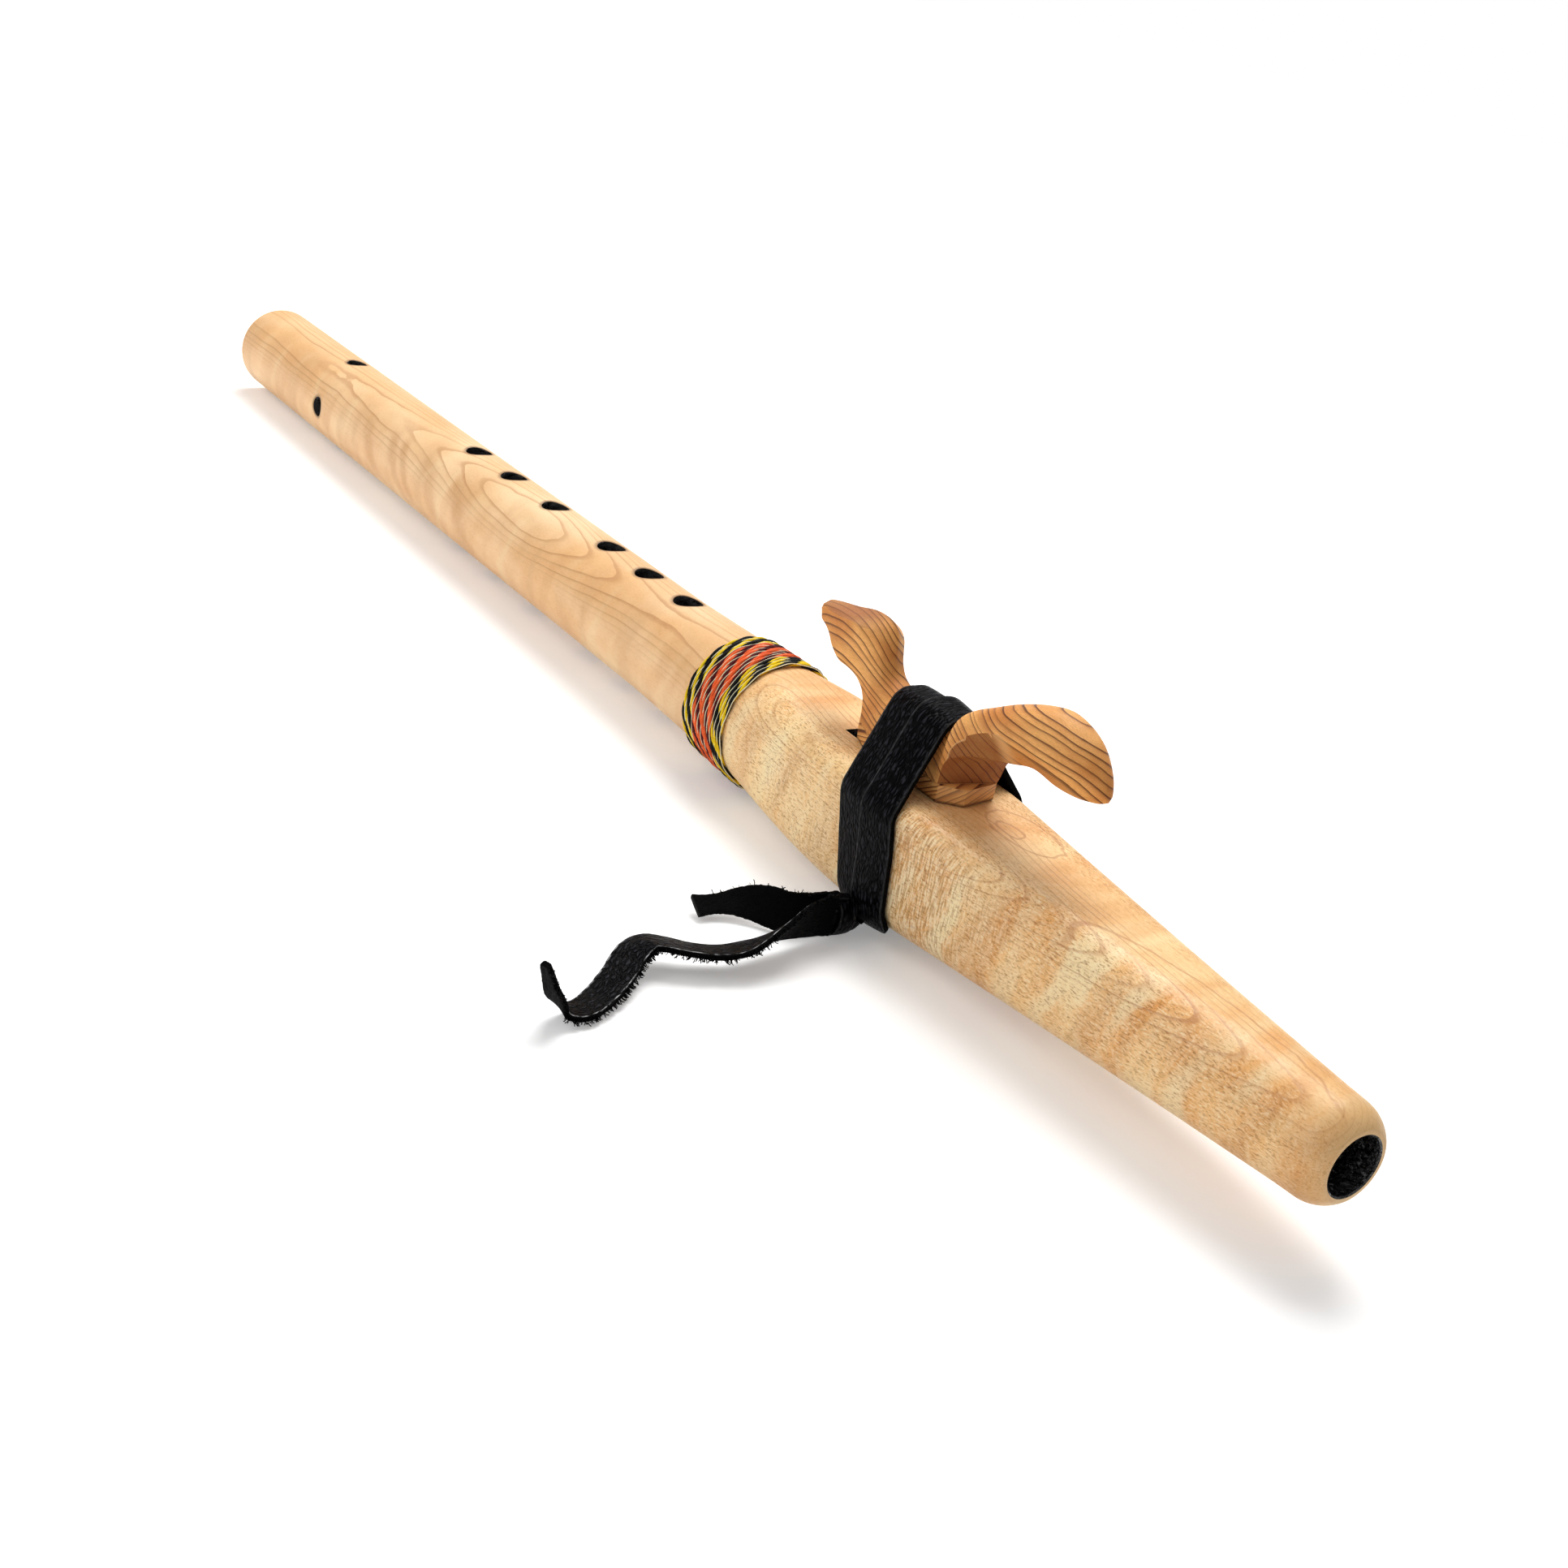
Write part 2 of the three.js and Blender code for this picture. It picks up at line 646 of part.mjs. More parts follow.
function laceKnot(centre) {
  const rings = knotRibShares.map(([along, depth, height]) => {
    const ring = [];
    for (let k = 0; k < knotSides; k++) {
      const angle = ((k + 0.5) / knotSides) * 2 * Math.PI;
      const soften = (value) => Math.sign(value) * Math.sqrt(Math.abs(value));
      ring.push(new THREE.Vector3(
        centre.x + (along - 0.5) * knotLength,
        centre.y + soften(Math.cos(angle)) * depth * knotDepth / 2,
        centre.z + soften(Math.sin(angle)) * height * knotHeight / 2,
      ));
    }
    return ring;
  });
  return loft(rings);
}

// Points on the middle of a winding that lies on the body from a station onwards
function windingPoints(startStation, loops) {
  const points = [];
  for (let step = 0; step <= loops * loopSteps; step++) {
    const angle = (step / loopSteps) * 2 * Math.PI;
    const station = startStation + (step / loopSteps) * threadPitch;
    const seat = sectionAt(station + threadPitch).top + threadSeatGap + threadDiameter / 2;
    const radius = seat / Math.cos(Math.PI / loopSteps);
    points.push(new THREE.Vector3(
      station,
      radius * Math.sin(angle),
      -radius * Math.cos(angle),
    ));
  }
  return points;
}

// Least gap between one loop of a winding and the next, measured on its points
function leastLoopGap(points) {
  let least = Infinity;
  for (let k = loopSteps; k < points.length; k++) {
    for (let near = -2; near <= 2; near++) {
      const other = points[k - loopSteps + near];
      if (other) {
        least = Math.min(least, points[k].distanceTo(other) - threadDiameter);
      }
    }
  }
  return least;
}

// One band of thread as a single unbroken tube
function threadBand(name, startStation, loops) {
  const points = windingPoints(startStation, loops);
  console.log(`${name}: least gap between loops ${leastLoopGap(points).toFixed(2)} mm`);
  const rings = points.map((point, k) => {
    const before = points[Math.max(0, k - 1)];
    const after = points[Math.min(points.length - 1, k + 1)];
    const along = new THREE.Vector3().subVectors(after, before).normalize();
    const out = new THREE.Vector3(0, point.y, point.z).normalize();
    const side = new THREE.Vector3().crossVectors(along, out).normalize();
    const ring = [];
    for (let corner = 0; corner < threadSides; corner++) {
      const angle = (corner / threadSides) * 2 * Math.PI;
      ring.push(point.clone()
        .addScaledVector(out, Math.cos(angle) * threadDiameter / 2)
        .addScaledVector(side, Math.sin(angle) * threadDiameter / 2));
    }
    return ring;
  });
  return loft(rings);
}

const flute = new THREE.Group();
flute.position.set(-bodyLength / 2, 0, axisHeight);

function addPiece(parent, name, geometry, material) {
  const mesh = new THREE.Mesh(geometry, material);
  mesh.name = name;
  parent.add(mesh);
  return mesh;
}

const whole = bodySolid();
addPiece(flute, 'body_upper_stave', bodyHalf(whole, true), maple);
addPiece(flute, 'body_lower_stave', bodyHalf(whole, false), maple);
const block = addPiece(flute, 'bird_block', birdBlock(), cedar);
block.position.set(soundHoleEnd, 0, nestHeight + blockSeatGap);

addPiece(flute, 'lace_wrap', laceWrap(), leather);

const bands = [
  ['thread_band_foot', footBandLoops, amberThread],
  ['thread_band_middle', middleBandLoops, redThread],
  ['thread_band_head', headBandLoops, amberThread],
];
let bandStart = footToWrap;
for (const [name, loops, material] of bands) {
  addPiece(flute, name, threadBand(name, bandStart, loops), material);
  bandStart += (loops + 1) * threadPitch;
}

const part = new THREE.Group();
part.add(flute);
const knotCentre = new THREE.Vector3(
  shortTailRouteShares[0][0] * tailReach - knotLength / 2 + laceWidth / 2,
  longTailRouteShares[0][1] * tailReach + knotGap + knotDepth / 2,
  knotHeight / 2,
);
addPiece(part, 'lace_knot', laceKnot(knotCentre), leather);
addPiece(part, 'lace_tail_long', laceTail(longTailRouteShares), leather);
addPiece(part, 'lace_tail_short', laceTail(shortTailRouteShares), leather);

export default part;
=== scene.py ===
import random
from math import acos, atan2, cos, hypot, pi, radians, sin, sqrt

import bmesh
import bpy
from mathutils import Matrix, Vector


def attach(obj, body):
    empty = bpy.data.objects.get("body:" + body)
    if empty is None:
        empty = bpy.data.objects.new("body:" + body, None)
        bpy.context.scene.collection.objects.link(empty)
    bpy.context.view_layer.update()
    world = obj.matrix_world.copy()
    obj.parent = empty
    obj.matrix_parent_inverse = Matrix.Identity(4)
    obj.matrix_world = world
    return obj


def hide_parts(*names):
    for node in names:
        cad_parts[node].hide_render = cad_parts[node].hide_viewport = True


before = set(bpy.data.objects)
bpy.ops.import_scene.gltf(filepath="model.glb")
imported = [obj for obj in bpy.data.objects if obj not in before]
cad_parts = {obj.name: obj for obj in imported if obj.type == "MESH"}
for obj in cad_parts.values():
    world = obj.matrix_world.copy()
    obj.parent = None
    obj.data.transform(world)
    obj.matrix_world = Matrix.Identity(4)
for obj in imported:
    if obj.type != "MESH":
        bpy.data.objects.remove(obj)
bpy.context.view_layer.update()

scene = bpy.context.scene
scene.view_settings.view_transform = 'Standard'
bodyLength = 575
axisHeight = 20.6


# Places are worked out in millimetres, from the foot end and from the axis of the bore
def place(x, y, z):
    return Vector(((x - bodyLength / 2) / 1000, y / 1000, (z + axisHeight) / 1000))


def mix(a, b, share):
    return a + (b - a) * share


def clamp01(value):
    return min(1, max(0, value))


def ease(value):
    share = clamp01(value)
    return share * share * (3 - 2 * share)


# Camera, at the photograph's angle
view = dict(location=(0.48091, -0.29963, 0.21577), azimuth=142.508, pitch=22.899, roll=-11.607,
            lens=46.912, sensorWidth=36, nearest=0.01)


def addCamera(view):
    azimuth, pitch, roll = (radians(view[key]) for key in ('azimuth', 'pitch', 'roll'))
    forward = Vector((cos(azimuth) * cos(pitch), sin(azimuth) * cos(pitch), -sin(pitch)))
    level = forward.cross(Vector((0, 0, 1))).normalized()
    down = forward.cross(level)
    right = cos(roll) * level + sin(roll) * down
    below = cos(roll) * down - sin(roll) * level
    data = bpy.data.cameras.new('camera')
    data.sensor_width = view['sensorWidth']
    data.lens = view['lens']
    data.clip_start = view['nearest']
    camera = bpy.data.objects.new('camera', data)
    turned = Matrix((right, -below, -forward)).transposed().to_4x4()
    camera.matrix_world = Matrix.Translation(view['location']) @ turned
    scene.collection.objects.link(camera)
    scene.camera = camera


addCamera(view)
print('camera placed')


# Node trees: sums on wires add their own Math nodes
class Wire:
    def __init__(self, tree, socket):
        self.tree = tree
        self.socket = socket

    def __add__(self, other):
        return self.tree.maths('ADD', self, other)

    def __radd__(self, other):
        return self.tree.maths('ADD', other, self)

    def __sub__(self, other):
        return self.tree.maths('SUBTRACT', self, other)

    def __rsub__(self, other):
        return self.tree.maths('SUBTRACT', other, self)

    def __mul__(self, other):
        return self.tree.maths('MULTIPLY', self, other)

    def __rmul__(self, other):
        return self.tree.maths('MULTIPLY', other, self)

    def __truediv__(self, other):
        return self.tree.maths('DIVIDE', self, other)

    def __rtruediv__(self, other):
        return self.tree.maths('DIVIDE', other, self)


class NodeTree:
    def __init__(self, tree):
        self.nodes = tree.nodes
        self.links = tree.links

    def node(self, kind, settings=None, inputs=None, output=0):
        node = self.nodes.new(kind)
        for key, value in (settings or {}).items():
            setattr(node, key, value)
        self.feed(node.inputs, inputs or {})
        return Wire(self, node.outputs[output])

    def feed(self, sockets, values):
        for key, value in values.items():
            if isinstance(value, Wire):
                self.links.new(value.socket, sockets[key])
            else:
                sockets[key].default_value = value

    def maths(self, operation, *values):
        return self.node('ShaderNodeMath', {'operation': operation}, dict(enumerate(values)))

    def distance(self, first, second):
        return self.maths('SQRT', first * first + second * second)

    # 0 at low and 1 at high, either of which may be the larger
    def smooth(self, value, low, high):
        limits = {'Value': value, 'From Min': low, 'From Max': high}
        return self.node('ShaderNodeMapRange', {'interpolation_type': 'SMOOTHSTEP'}, limits)

    # 1 from full to fullEnd, and 0 before start and after end
    def window(self, value, start, full, fullEnd, end):
        return self.smooth(value, start, full) * self.smooth(value, end, fullEnd)

    # Two colours, each a wire or its red, green and blue
    def blend(self, share, first, second):
        first, second = (color if isinstance(color, Wire) else (*color, 1) for color in (first, second))
        return self.node('ShaderNodeMix', {'data_type': 'RGBA'}, {0: share, 6: first, 7: second}, 2)

    # Colours laid over a base, each with the share of it that shows
    def layers(self, base, coats):
        for share, color in coats:
            base = self.blend(share, base, color)
        return base

    def vector(self, x=0.0, y=0.0, z=0.0):
        return self.node('ShaderNodeCombineXYZ', None, {0: x, 1: y, 2: z})

    # One vector moved by a share of another
    def push(self, vector, other, share):
        step = self.node('ShaderNodeVectorMath', {'operation': 'SCALE'}, {0: other, 'Scale': share})
        return self.node('ShaderNodeVectorMath', {'operation': 'ADD'}, {0: vector, 1: step})

    def axes(self, vector):
        split = self.node('ShaderNodeSeparateXYZ', None, {0: vector}).socket.node
        return [Wire(self, socket) for socket in split.outputs]

    def millimetres(self, turn=(0, 0, 0), stretch=(1, 1, 1)):
        spot = self.node('ShaderNodeTexCoord', output='Object')
        scale = tuple(1000 * share for share in stretch)
        return self.node('ShaderNodeMapping', None, {'Vector': spot, 'Rotation': turn, 'Scale': scale})

    def noise(self, spot, scale=1.0, detail=2, rough=0.5, warp=0, output='Fac'):
        inputs = {'Vector': spot, 'Scale': scale, 'Detail': detail, 'Roughness': rough, 'Distortion': warp}
        return self.node('ShaderNodeTexNoise', None, inputs, output)

    # Noise that is drawn out along the wood
    def grain(self, stretch, turn=(0, 0, 0), **settings):
        return self.noise(self.millimetres(turn, stretch), **settings)

    def bump(self, height, distance, strength=1.0):
        inputs = {'Height': height, 'Distance': distance, 'Strength': strength}
        return self.node('ShaderNodeBump', None, inputs)

    # 1 for rays of the kinds that are named
    def rays(self, *kinds):
        seen = 0.0
        for kind in kinds:
            seen = self.maths('MAXIMUM', seen, self.node('ShaderNodeLightPath', output=kind))
        return seen

    # A round tube along a curve
    def tube(self, curve, sides, radius):
        section = self.node('GeometryNodeCurvePrimitiveCircle', None, {'Resolution': sides, 'Radius': radius})
        inputs = {'Curve': curve, 'Profile Curve': section, 'Fill Caps': True}
        return self.node('GeometryNodeCurveToMesh', None, inputs)

    def finished(self, geometry, material):
        real = self.node('GeometryNodeRealizeInstances', None, {'Geometry': geometry})
        return self.node('GeometryNodeSetMaterial', None, {'Geometry': real, 'Material': material})


def newMaterial(name, **constants):
    material = bpy.data.materials.new(name)
    material.use_nodes = True
    tree = NodeTree(material.node_tree)
    shader = material.node_tree.nodes['Principled BSDF']
    tree.feed(shader.inputs, constants)
    return material, tree, shader


# A Geometry Nodes group with named inputs, and a wire from each of them
def newGroup(name, inputs):
    group = bpy.data.node_groups.new(name, 'GeometryNodeTree')
    for title, kind in inputs:
        group.interface.new_socket(title, in_out='INPUT', socket_type='NodeSocket' + kind)
    group.interface.new_socket('Geometry', in_out='OUTPUT', socket_type='NodeSocketGeometry')
    tree = NodeTree(group)
    sockets = tree.nodes.new('NodeGroupInput').outputs
    return group, tree, [Wire(tree, sockets[title]) for title, kind in inputs]


def setInputs(modifier, values):
    for item in modifier.node_group.interface.items_tree:
        if item.in_out == 'INPUT' and item.name in values:
            modifier[item.identifier] = values[item.name]


# Meshes
def addMesh(name, points, faces, *materials):
    mesh = bpy.data.meshes.new(name)
    mesh.from_pydata(points, [], faces)
    for material in materials:
        mesh.materials.append(material)
    piece = bpy.data.objects.new(name, mesh)
    scene.collection.objects.link(piece)
    return piece


def loftFaces(ringCount, size):
    faces = []
    for ring in range(ringCount - 1):
        for k in range(size):
            here = ring * size + k
            after = ring * size + (k + 1) % size
            faces.append((here, after, after + size, here + size))
    last = (ringCount - 1) * size
    faces.append(tuple(range(size - 1, -1, -1)))
    faces.append(tuple(range(last, last + size)))
    return faces


def addLoft(name, rings, *materials):
    points = [place(*point) for ring in rings for point in ring]
    piece = addMesh(name, points, loftFaces(len(rings), len(rings[0])), *materials)
    turnOutwards(piece)
    return piece


def turnOutwards(piece):
    shape = bmesh.new()
    shape.from_mesh(piece.data)
    if shape.calc_volume(signed=True) < 0:
        bmesh.ops.reverse_faces(shape, faces=shape.faces)
    shape.to_mesh(piece.data)
    shape.free()


def smoothShade(piece, degrees):
    piece.data.shade_smooth()
    piece.data.set_sharp_from_angle(angle=radians(degrees))


def bakeModifiers(piece):
    bpy.context.view_layer.update()
    graph = bpy.context.evaluated_depsgraph_get()
    mesh = bpy.data.meshes.new_from_object(piece.evaluated_get(graph))
    piece.modifiers.clear()
    piece.data = mesh


def combine(piece, tool, operation):
    modifier = piece.modifiers.new('combine', 'BOOLEAN')
    modifier.object = tool
    modifier.operation = operation
    modifier.solver = 'EXACT'
    bakeModifiers(piece)
    bpy.data.objects.remove(tool)


# Leather: grain on the outer face, whose crests carry a painted highlight, dark fibres on the cut edges and
# the flesh side.
# The piece's UV map runs along the strip and across it, both in millimetres.
leatherLook = dict(pebble=1.0, stretch=0.34, ridge=0.62, wander=1.3, relief=0.00045,
                   hollow=(0.0002, 0.0002, 0.0006), crestHighlight=(0.0230, 0.0230, 0.0290),
                   fleshDark=(0.0006, 0.0006, 0.0008), fleshPale=(0.0030, 0.0028, 0.0030),
                   paleEdgeHighlight=(0.62, 0.62, 0.63))


def makeLeather(name, look, shine, rimFrom, gaps):
    material, tree, shader = newMaterial(name, **{'Specular IOR Level': 0.045, 'IOR': 1.45})
    along, across, unused = tree.axes(tree.node('ShaderNodeUVMap', {'uv_map': 'strip'}))
    strip = tree.vector(along * look['stretch'], across)
    bent = tree.push(strip, tree.noise(strip, 0.35, warp=0.4, output='Color'), look['wander'])
    cells = tree.node('ShaderNodeTexVoronoi', {'feature': 'DISTANCE_TO_EDGE'},
                      {'Vector': bent, 'Scale': 1 / look['pebble']})
    pebbles = tree.smooth(cells, 0.0, 0.28)
    ridges = tree.noise(bent, 1 / look['ridge'], detail=3, rough=0.6, warp=0.6)
    coarse = tree.noise(strip, 0.22)
    cut, rim = (tree.node('ShaderNodeAttribute', {'attribute_name': title}, output='Fac')
                for title in ('cut', 'rim'))
    fibres = tree.noise(tree.millimetres(), 3.2, detail=4, rough=0.7)
    grainHeight = pebbles * 0.55 + ridges * 0.8 + coarse * 0.4
    # painted highlight: the crests of the grain are painted lighter than its hollows
    highlightedCrests = tree.smooth(ridges * 0.8 + pebbles * 0.2, 0.52, 0.70)
    dashes = tree.smooth(tree.noise(strip, 1.5, rough=0.6), 0.42, 0.66)
    # a dashed pale line on the grain's corner, partly worn edge and partly painted highlight
    paleEdgeHighlight = tree.smooth(rim, rimFrom, 1.0) * (1 - (1 - dashes) * gaps) * shine
    grainSide = tree.blend(highlightedCrests, look['hollow'], look['crestHighlight'])
    fleshSide = tree.blend(fibres, look['fleshDark'], look['fleshPale'])
    tree.feed(shader.inputs, {
        'Base Color': tree.layers(grainSide, [(cut, fleshSide), (paleEdgeHighlight, look['paleEdgeHighlight'])]),
        'Roughness': tree.smooth(pebbles * 0.6 + cut * 0.8, 0.0, 1.4) * 0.38 + 0.34,
        'Normal': tree.bump(grainHeight * (1 - cut) + fibres * cut * 1.6, look['relief']),
    })
    return material


wrapLeather = makeLeather('black_leather_wrap', leatherLook, shine=0.075, rimFrom=0.3, gaps=0.5)
tailLeather = makeLeather('black_leather_tail', leatherLook, shine=0.95, rimFrom=0.62, gaps=1.0)


# Cross section of a strip, from the grain face round the cut edge to the flesh side.
# Each entry is across and out, with marks for the cut parts and for the corner that gets a pale line, partly
# worn edge and partly painted highlight.
stripShape = dict(steps=12, softEdge=0.3, cornerIn=0.08, cornerDrop=0.1, edgeDrop=0.42, cornerRim=0.6,
                  wearPower=6, fleshShift=40, crease=50)


def stripSection(width, thickness, crown):
    shape = stripShape
    side, face, steps = width / 2, thickness / 2, shape['steps']
    places = [(k / steps * 2 - 1) * (side - shape['softEdge']) for k in range(steps + 1)]
    grain = [(across, crown * (1 - (across / side) ** 2) - crown) for across in places]
    corner, inner = face - shape['cornerDrop'], side - shape['cornerIn']
    edge = [(inner, corner, shape['cornerRim']), (side, face - shape['edgeDrop'], 0),
            (side, shape['edgeDrop'] - face, 0), (inner, -corner, 0)]
    section = [(across, face + lift, 0, 1 if across in (places[0], places[-1]) else 0)
               for across, lift in grain]
    section += [(across, out - crown, 1, rim) for across, out, rim in edge]
    section += [(across, lift - face, 1, 0) for across, lift in grain[::-2]]
    section += [(-across, out - crown, 1, rim) for across, out, rim in reversed(edge)]
    return section


# A strip through rows of centre, across and out vectors, with its width for each row
def addStrip(name, rows, thickness, crown, material, edgeWear, seed):
    wobble = random.Random(seed)
    points, cuts, rims, coordinates = [], [], [], []
    travelled = 0
    for number, (centre, across, out, width) in enumerate(rows):
        if number:
            travelled += (centre - rows[number - 1][0]).length
        nibble = [wobble.uniform(-edgeWear, edgeWear) for unused in range(2)]
        for side, lift, cut, rim in stripSection(width, thickness, crown):
            worn = nibble[side > 0] * abs(2 * side / width) ** stripShape['wearPower']
            points.append(centre + across * (side + worn) + out * lift)
            cuts.append(cut)
            rims.append(rim)
            coordinates.append((travelled, side + (stripShape['fleshShift'] if lift < 0 else 0)))
    size = len(stripSection(1, thickness, 0))
    piece = addMesh(name, [place(*point) for point in points], loftFaces(len(rows), size), material)
    mesh = piece.data
    for title, values in (('cut', cuts), ('rim', rims)):
        attribute = mesh.attributes.new(title, 'FLOAT', 'POINT')
        attribute.data.foreach_set('value', [float(value) for value in values])
    layer = mesh.uv_layers.new(name='strip')
    for loop in mesh.loops:
        layer.data[loop.index].uv = coordinates[loop.vertex_index]
    turnOutwards(piece)
    smoothShade(piece, stripShape['crease'])
    return piece


# Free ends of the lace. Their routes are in metres along the flute, across it and up,
# then come the share of full width and the roll in half turns.
laceSizes = dict(width=10.6, thickness=1.4, crown=0.12, turnGap=0.45, layerGap=0.4, seatGap=0.3, lean=0.28,
                 rowsPerPoint=6, wear=0.10)
longTail = [
    (0.1534, -0.0269, 0.0058, 0.95, 0.500),
    (0.1536, -0.0305, 0.0061, 0.95, 0.530),
    (0.1556, -0.0370, 0.0068, 0.94, 0.600),
    (0.1586, -0.0473, 0.0062, 0.88, 0.760),
    (0.1602, -0.0557, 0.0048, 0.80, 0.900),
    (0.1594, -0.0615, 0.0042, 0.78, 0.930),
    (0.1573, -0.0677, 0.0046, 0.76, 0.930),
    (0.1545, -0.0724, 0.0050, 0.75, 0.940),
    (0.1531, -0.0764, 0.0050, 0.74, 0.970),
    (0.1550, -0.0811, 0.0040, 0.73, 1.000),
    (0.1600, -0.0868, 0.0026, 0.72, 1.010),
    (0.1651, -0.0934, 0.0015, 0.70, 1.000),
    (0.1687, -0.0994, 0.0011, 0.68, 1.000),
    (0.1693, -0.1033, 0.0014, 0.64, 1.000),
    (0.1691, -0.1059, 0.0036, 0.56, 1.000),
    (0.1700, -0.1086, 0.0080, 0.44, 1.000),
    (0.1705, -0.1104, 0.0120, 0.32, 1.000),
    (0.1709, -0.1116, 0.0146, 0.22, 1.000),
]
shortTail = [
    (0.1504, -0.0269, 0.0053, 0.95, 0.467),
    (0.1502, -0.0287, 0.0053, 0.94, 0.462),
    (0.1499, -0.0305, 0.0052, 0.93, 0.456),
    (0.1493, -0.0327, 0.0051, 0.92, 0.445),
    (0.1484, -0.0346, 0.0050, 0.92, 0.433),
    (0.1470, -0.0362, 0.0048, 0.92, 0.412),
    (0.1453, -0.0374, 0.0047, 0.92, 0.389),
    (0.1433, -0.0384, 0.0045, 0.89, 0.350),
    (0.1413, -0.0397, 0.0042, 0.84, 0.311),
    (0.1395, -0.0414, 0.0037, 0.76, 0.261),
    (0.1381, -0.0434, 0.0032, 0.66, 0.211),
    (0.1372, -0.0459, 0.0028, 0.54, 0.180),
    (0.1366, -0.0484, 0.0025, 0.48, 0.156),
    (0.1362, -0.0508, 0.0023, 0.50, 0.140),
    (0.1359, -0.0532, 0.0022, 0.58, 0.130),
]


# Smooth rows through a table of numbers, a few for each of its own
def smoothRows(table, steps):
    rows = []
    for k in range(len(table) - 1):
        before, after = table[max(0, k - 1)], table[min(len(table) - 1, k + 2)]
        for step in range(steps):
            t = step / steps
            rows.append([
                0.5 * (2 * b + (c - a) * t + (2 * a - 5 * b + 4 * c - d) * t * t
                       + (3 * b - a - 3 * c + d) * t ** 3)
                for a, b, c, d in zip(before, table[k], table[k + 1], after)
            ])
    rows.append(list(table[-1]))
    return rows


def tailRows(route, steps):
    fine = smoothRows(route, steps)
    spots = [Vector(row[:3]) * 1000 + Vector((bodyLength / 2, 0, -axisHeight)) for row in fine]
    rows = []
    for k, spot in enumerate(spots):
        along = (spots[min(k + 1, len(spots) - 1)] - spots[max(k - 1, 0)]).normalized()
        level = Vector((along.y, -along.x, 0)).normalized()
        rise = along.cross(level).normalized()
        if rise.z < 0:
            rise.negate()
        roll = pi * fine[k][4]
        across = cos(roll) * level + sin(roll) * rise
        out = along.cross(across).normalized()
        rows.append((spot, across, out, laceSizes['width'] * fine[k][3]))
    return rows


# Torn fibres on the cut edges: short bent hairs that Geometry Nodes sets on points
fringeSizes = dict(length=0.0014, thickness=0.00013, spread=0.7, seed=7, shortest=0.25, inset=0.1,
                   lowest=-0.6, highest=0.25, droop=0.5, backLean=0.5, steps=4, sides=4, taper=0.7,
                   middle=(0.25, 0.55), tip=-0.15, tufts=(0.9, 0.37), sparse=0.3, dense=1.2)


def fringeTree(material, sizes):
    group, tree, (points, length, thickness, spread) = newGroup('edge_fringe', [
        ('Geometry', 'Geometry'), ('Length', 'Float'), ('Thickness', 'Float'), ('Spread', 'Float')])
    aside, along = sizes['middle']
    hair = tree.node('GeometryNodeCurveQuadraticBezier', None, {
        'Resolution': sizes['steps'], 'Start': (0, 0, 0),
        'Middle': tree.vector(length * aside, 0.0, length * along),
        'End': tree.vector(length * sizes['tip'], 0.0, length)})
    thinner = 1 - tree.node('GeometryNodeSplineParameter', output='Factor') * sizes['taper']
    hair = tree.node('GeometryNodeSetCurveRadius', None, {'Curve': hair, 'Radius': thinner})
    outward = tree.node('GeometryNodeInputNamedAttribute', {'data_type': 'FLOAT_VECTOR'}, {'Name': 'outward'})
    stray = tree.node('FunctionNodeRandomValue', {'data_type': 'FLOAT_VECTOR'},
                      {0: (-1, -1, -1), 1: (1, 1, 1), 'Seed': sizes['seed']})
    turn = tree.node('FunctionNodeAlignRotationToVector', {'axis': 'Z'},
                     {'Vector': tree.push(outward, stray, spread)})
    size = tree.node('FunctionNodeRandomValue', {'data_type': 'FLOAT'},
                     {2: sizes['shortest'], 3: 1.0, 'Seed': sizes['seed'] + 1}, 1)
    hairs = tree.node('GeometryNodeInstanceOnPoints', None, {
        'Points': points, 'Instance': tree.tube(hair, sizes['sides'], thickness),
        'Rotation': turn, 'Scale': size})
    tree.feed(tree.nodes.new('NodeGroupOutput').inputs, {0: tree.finished(hairs, material)})
    return group


# Points along one edge of a strip, each with the way that its hair leans
def addFringe(name, rows, perMillimetre, group, seed):
    sizes = fringeSizes
    pick = random.Random(seed)
    quick, slow = sizes['tufts']
    points, leans = [], []
    for (here, across, out, width), (there, *unused) in zip(rows, rows[1:]):
        tuft = 0.5 + 0.5 * sin(quick * here.y + seed) * sin(slow * here.y)
        count = (there - here).length * perMillimetre * (sizes['sparse'] + sizes['dense'] * tuft)
        for unused in range(int(count + pick.random())):
            spot = here.lerp(there, pick.random()) + across * (width / 2 - sizes['inset'])
            points.append(place(*(spot + out * pick.uniform(sizes['lowest'], sizes['highest']))))
            leans.append(across - out * sizes['backLean'] + Vector((0, 0, -sizes['droop'])))
    piece = addMesh(name, points, [])
    attribute = piece.data.attributes.new('outward', 'FLOAT_VECTOR', 'POINT')
    attribute.data.foreach_set('vector', [value for lean in leans for value in lean])
    modifier = piece.modifiers.new('fringe', 'NODES')
    modifier.node_group = group
    setInputs(modifier, {'Length': sizes['length'], 'Thickness': sizes['thickness'],
                         'Spread': sizes['spread']})
    bakeModifiers(piece)
    return piece


def routeLength(route):
    spots = [Vector(row[:3]) for row in route]
    return sum((b - a).length for a, b in zip(spots, spots[1:]))


def addTail(name, node, route, seed, density):
    sizes = laceSizes
    rows = tailRows(route, sizes['rowsPerPoint'])
    tail = addStrip(name, rows, sizes['thickness'], sizes['crown'], tailLeather, sizes['wear'], seed)
    fringe = addFringe(name + '_fringe', rows, density, fringeGroup, seed)
    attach(fringe, 'bird_and_tie')
    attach(tail, 'bird_and_tie')
    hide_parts(node)
    return tail, fringe


fringeGroup = fringeTree(tailLeather, fringeSizes)
tailLong, fringeLong = addTail('lace_end_long', 'lace_tail_long', longTail, seed=3, density=9.0)
tailShort, fringeShort = addTail('lace_end_short', 'lace_tail_short', shortTail, seed=5, density=1.0)


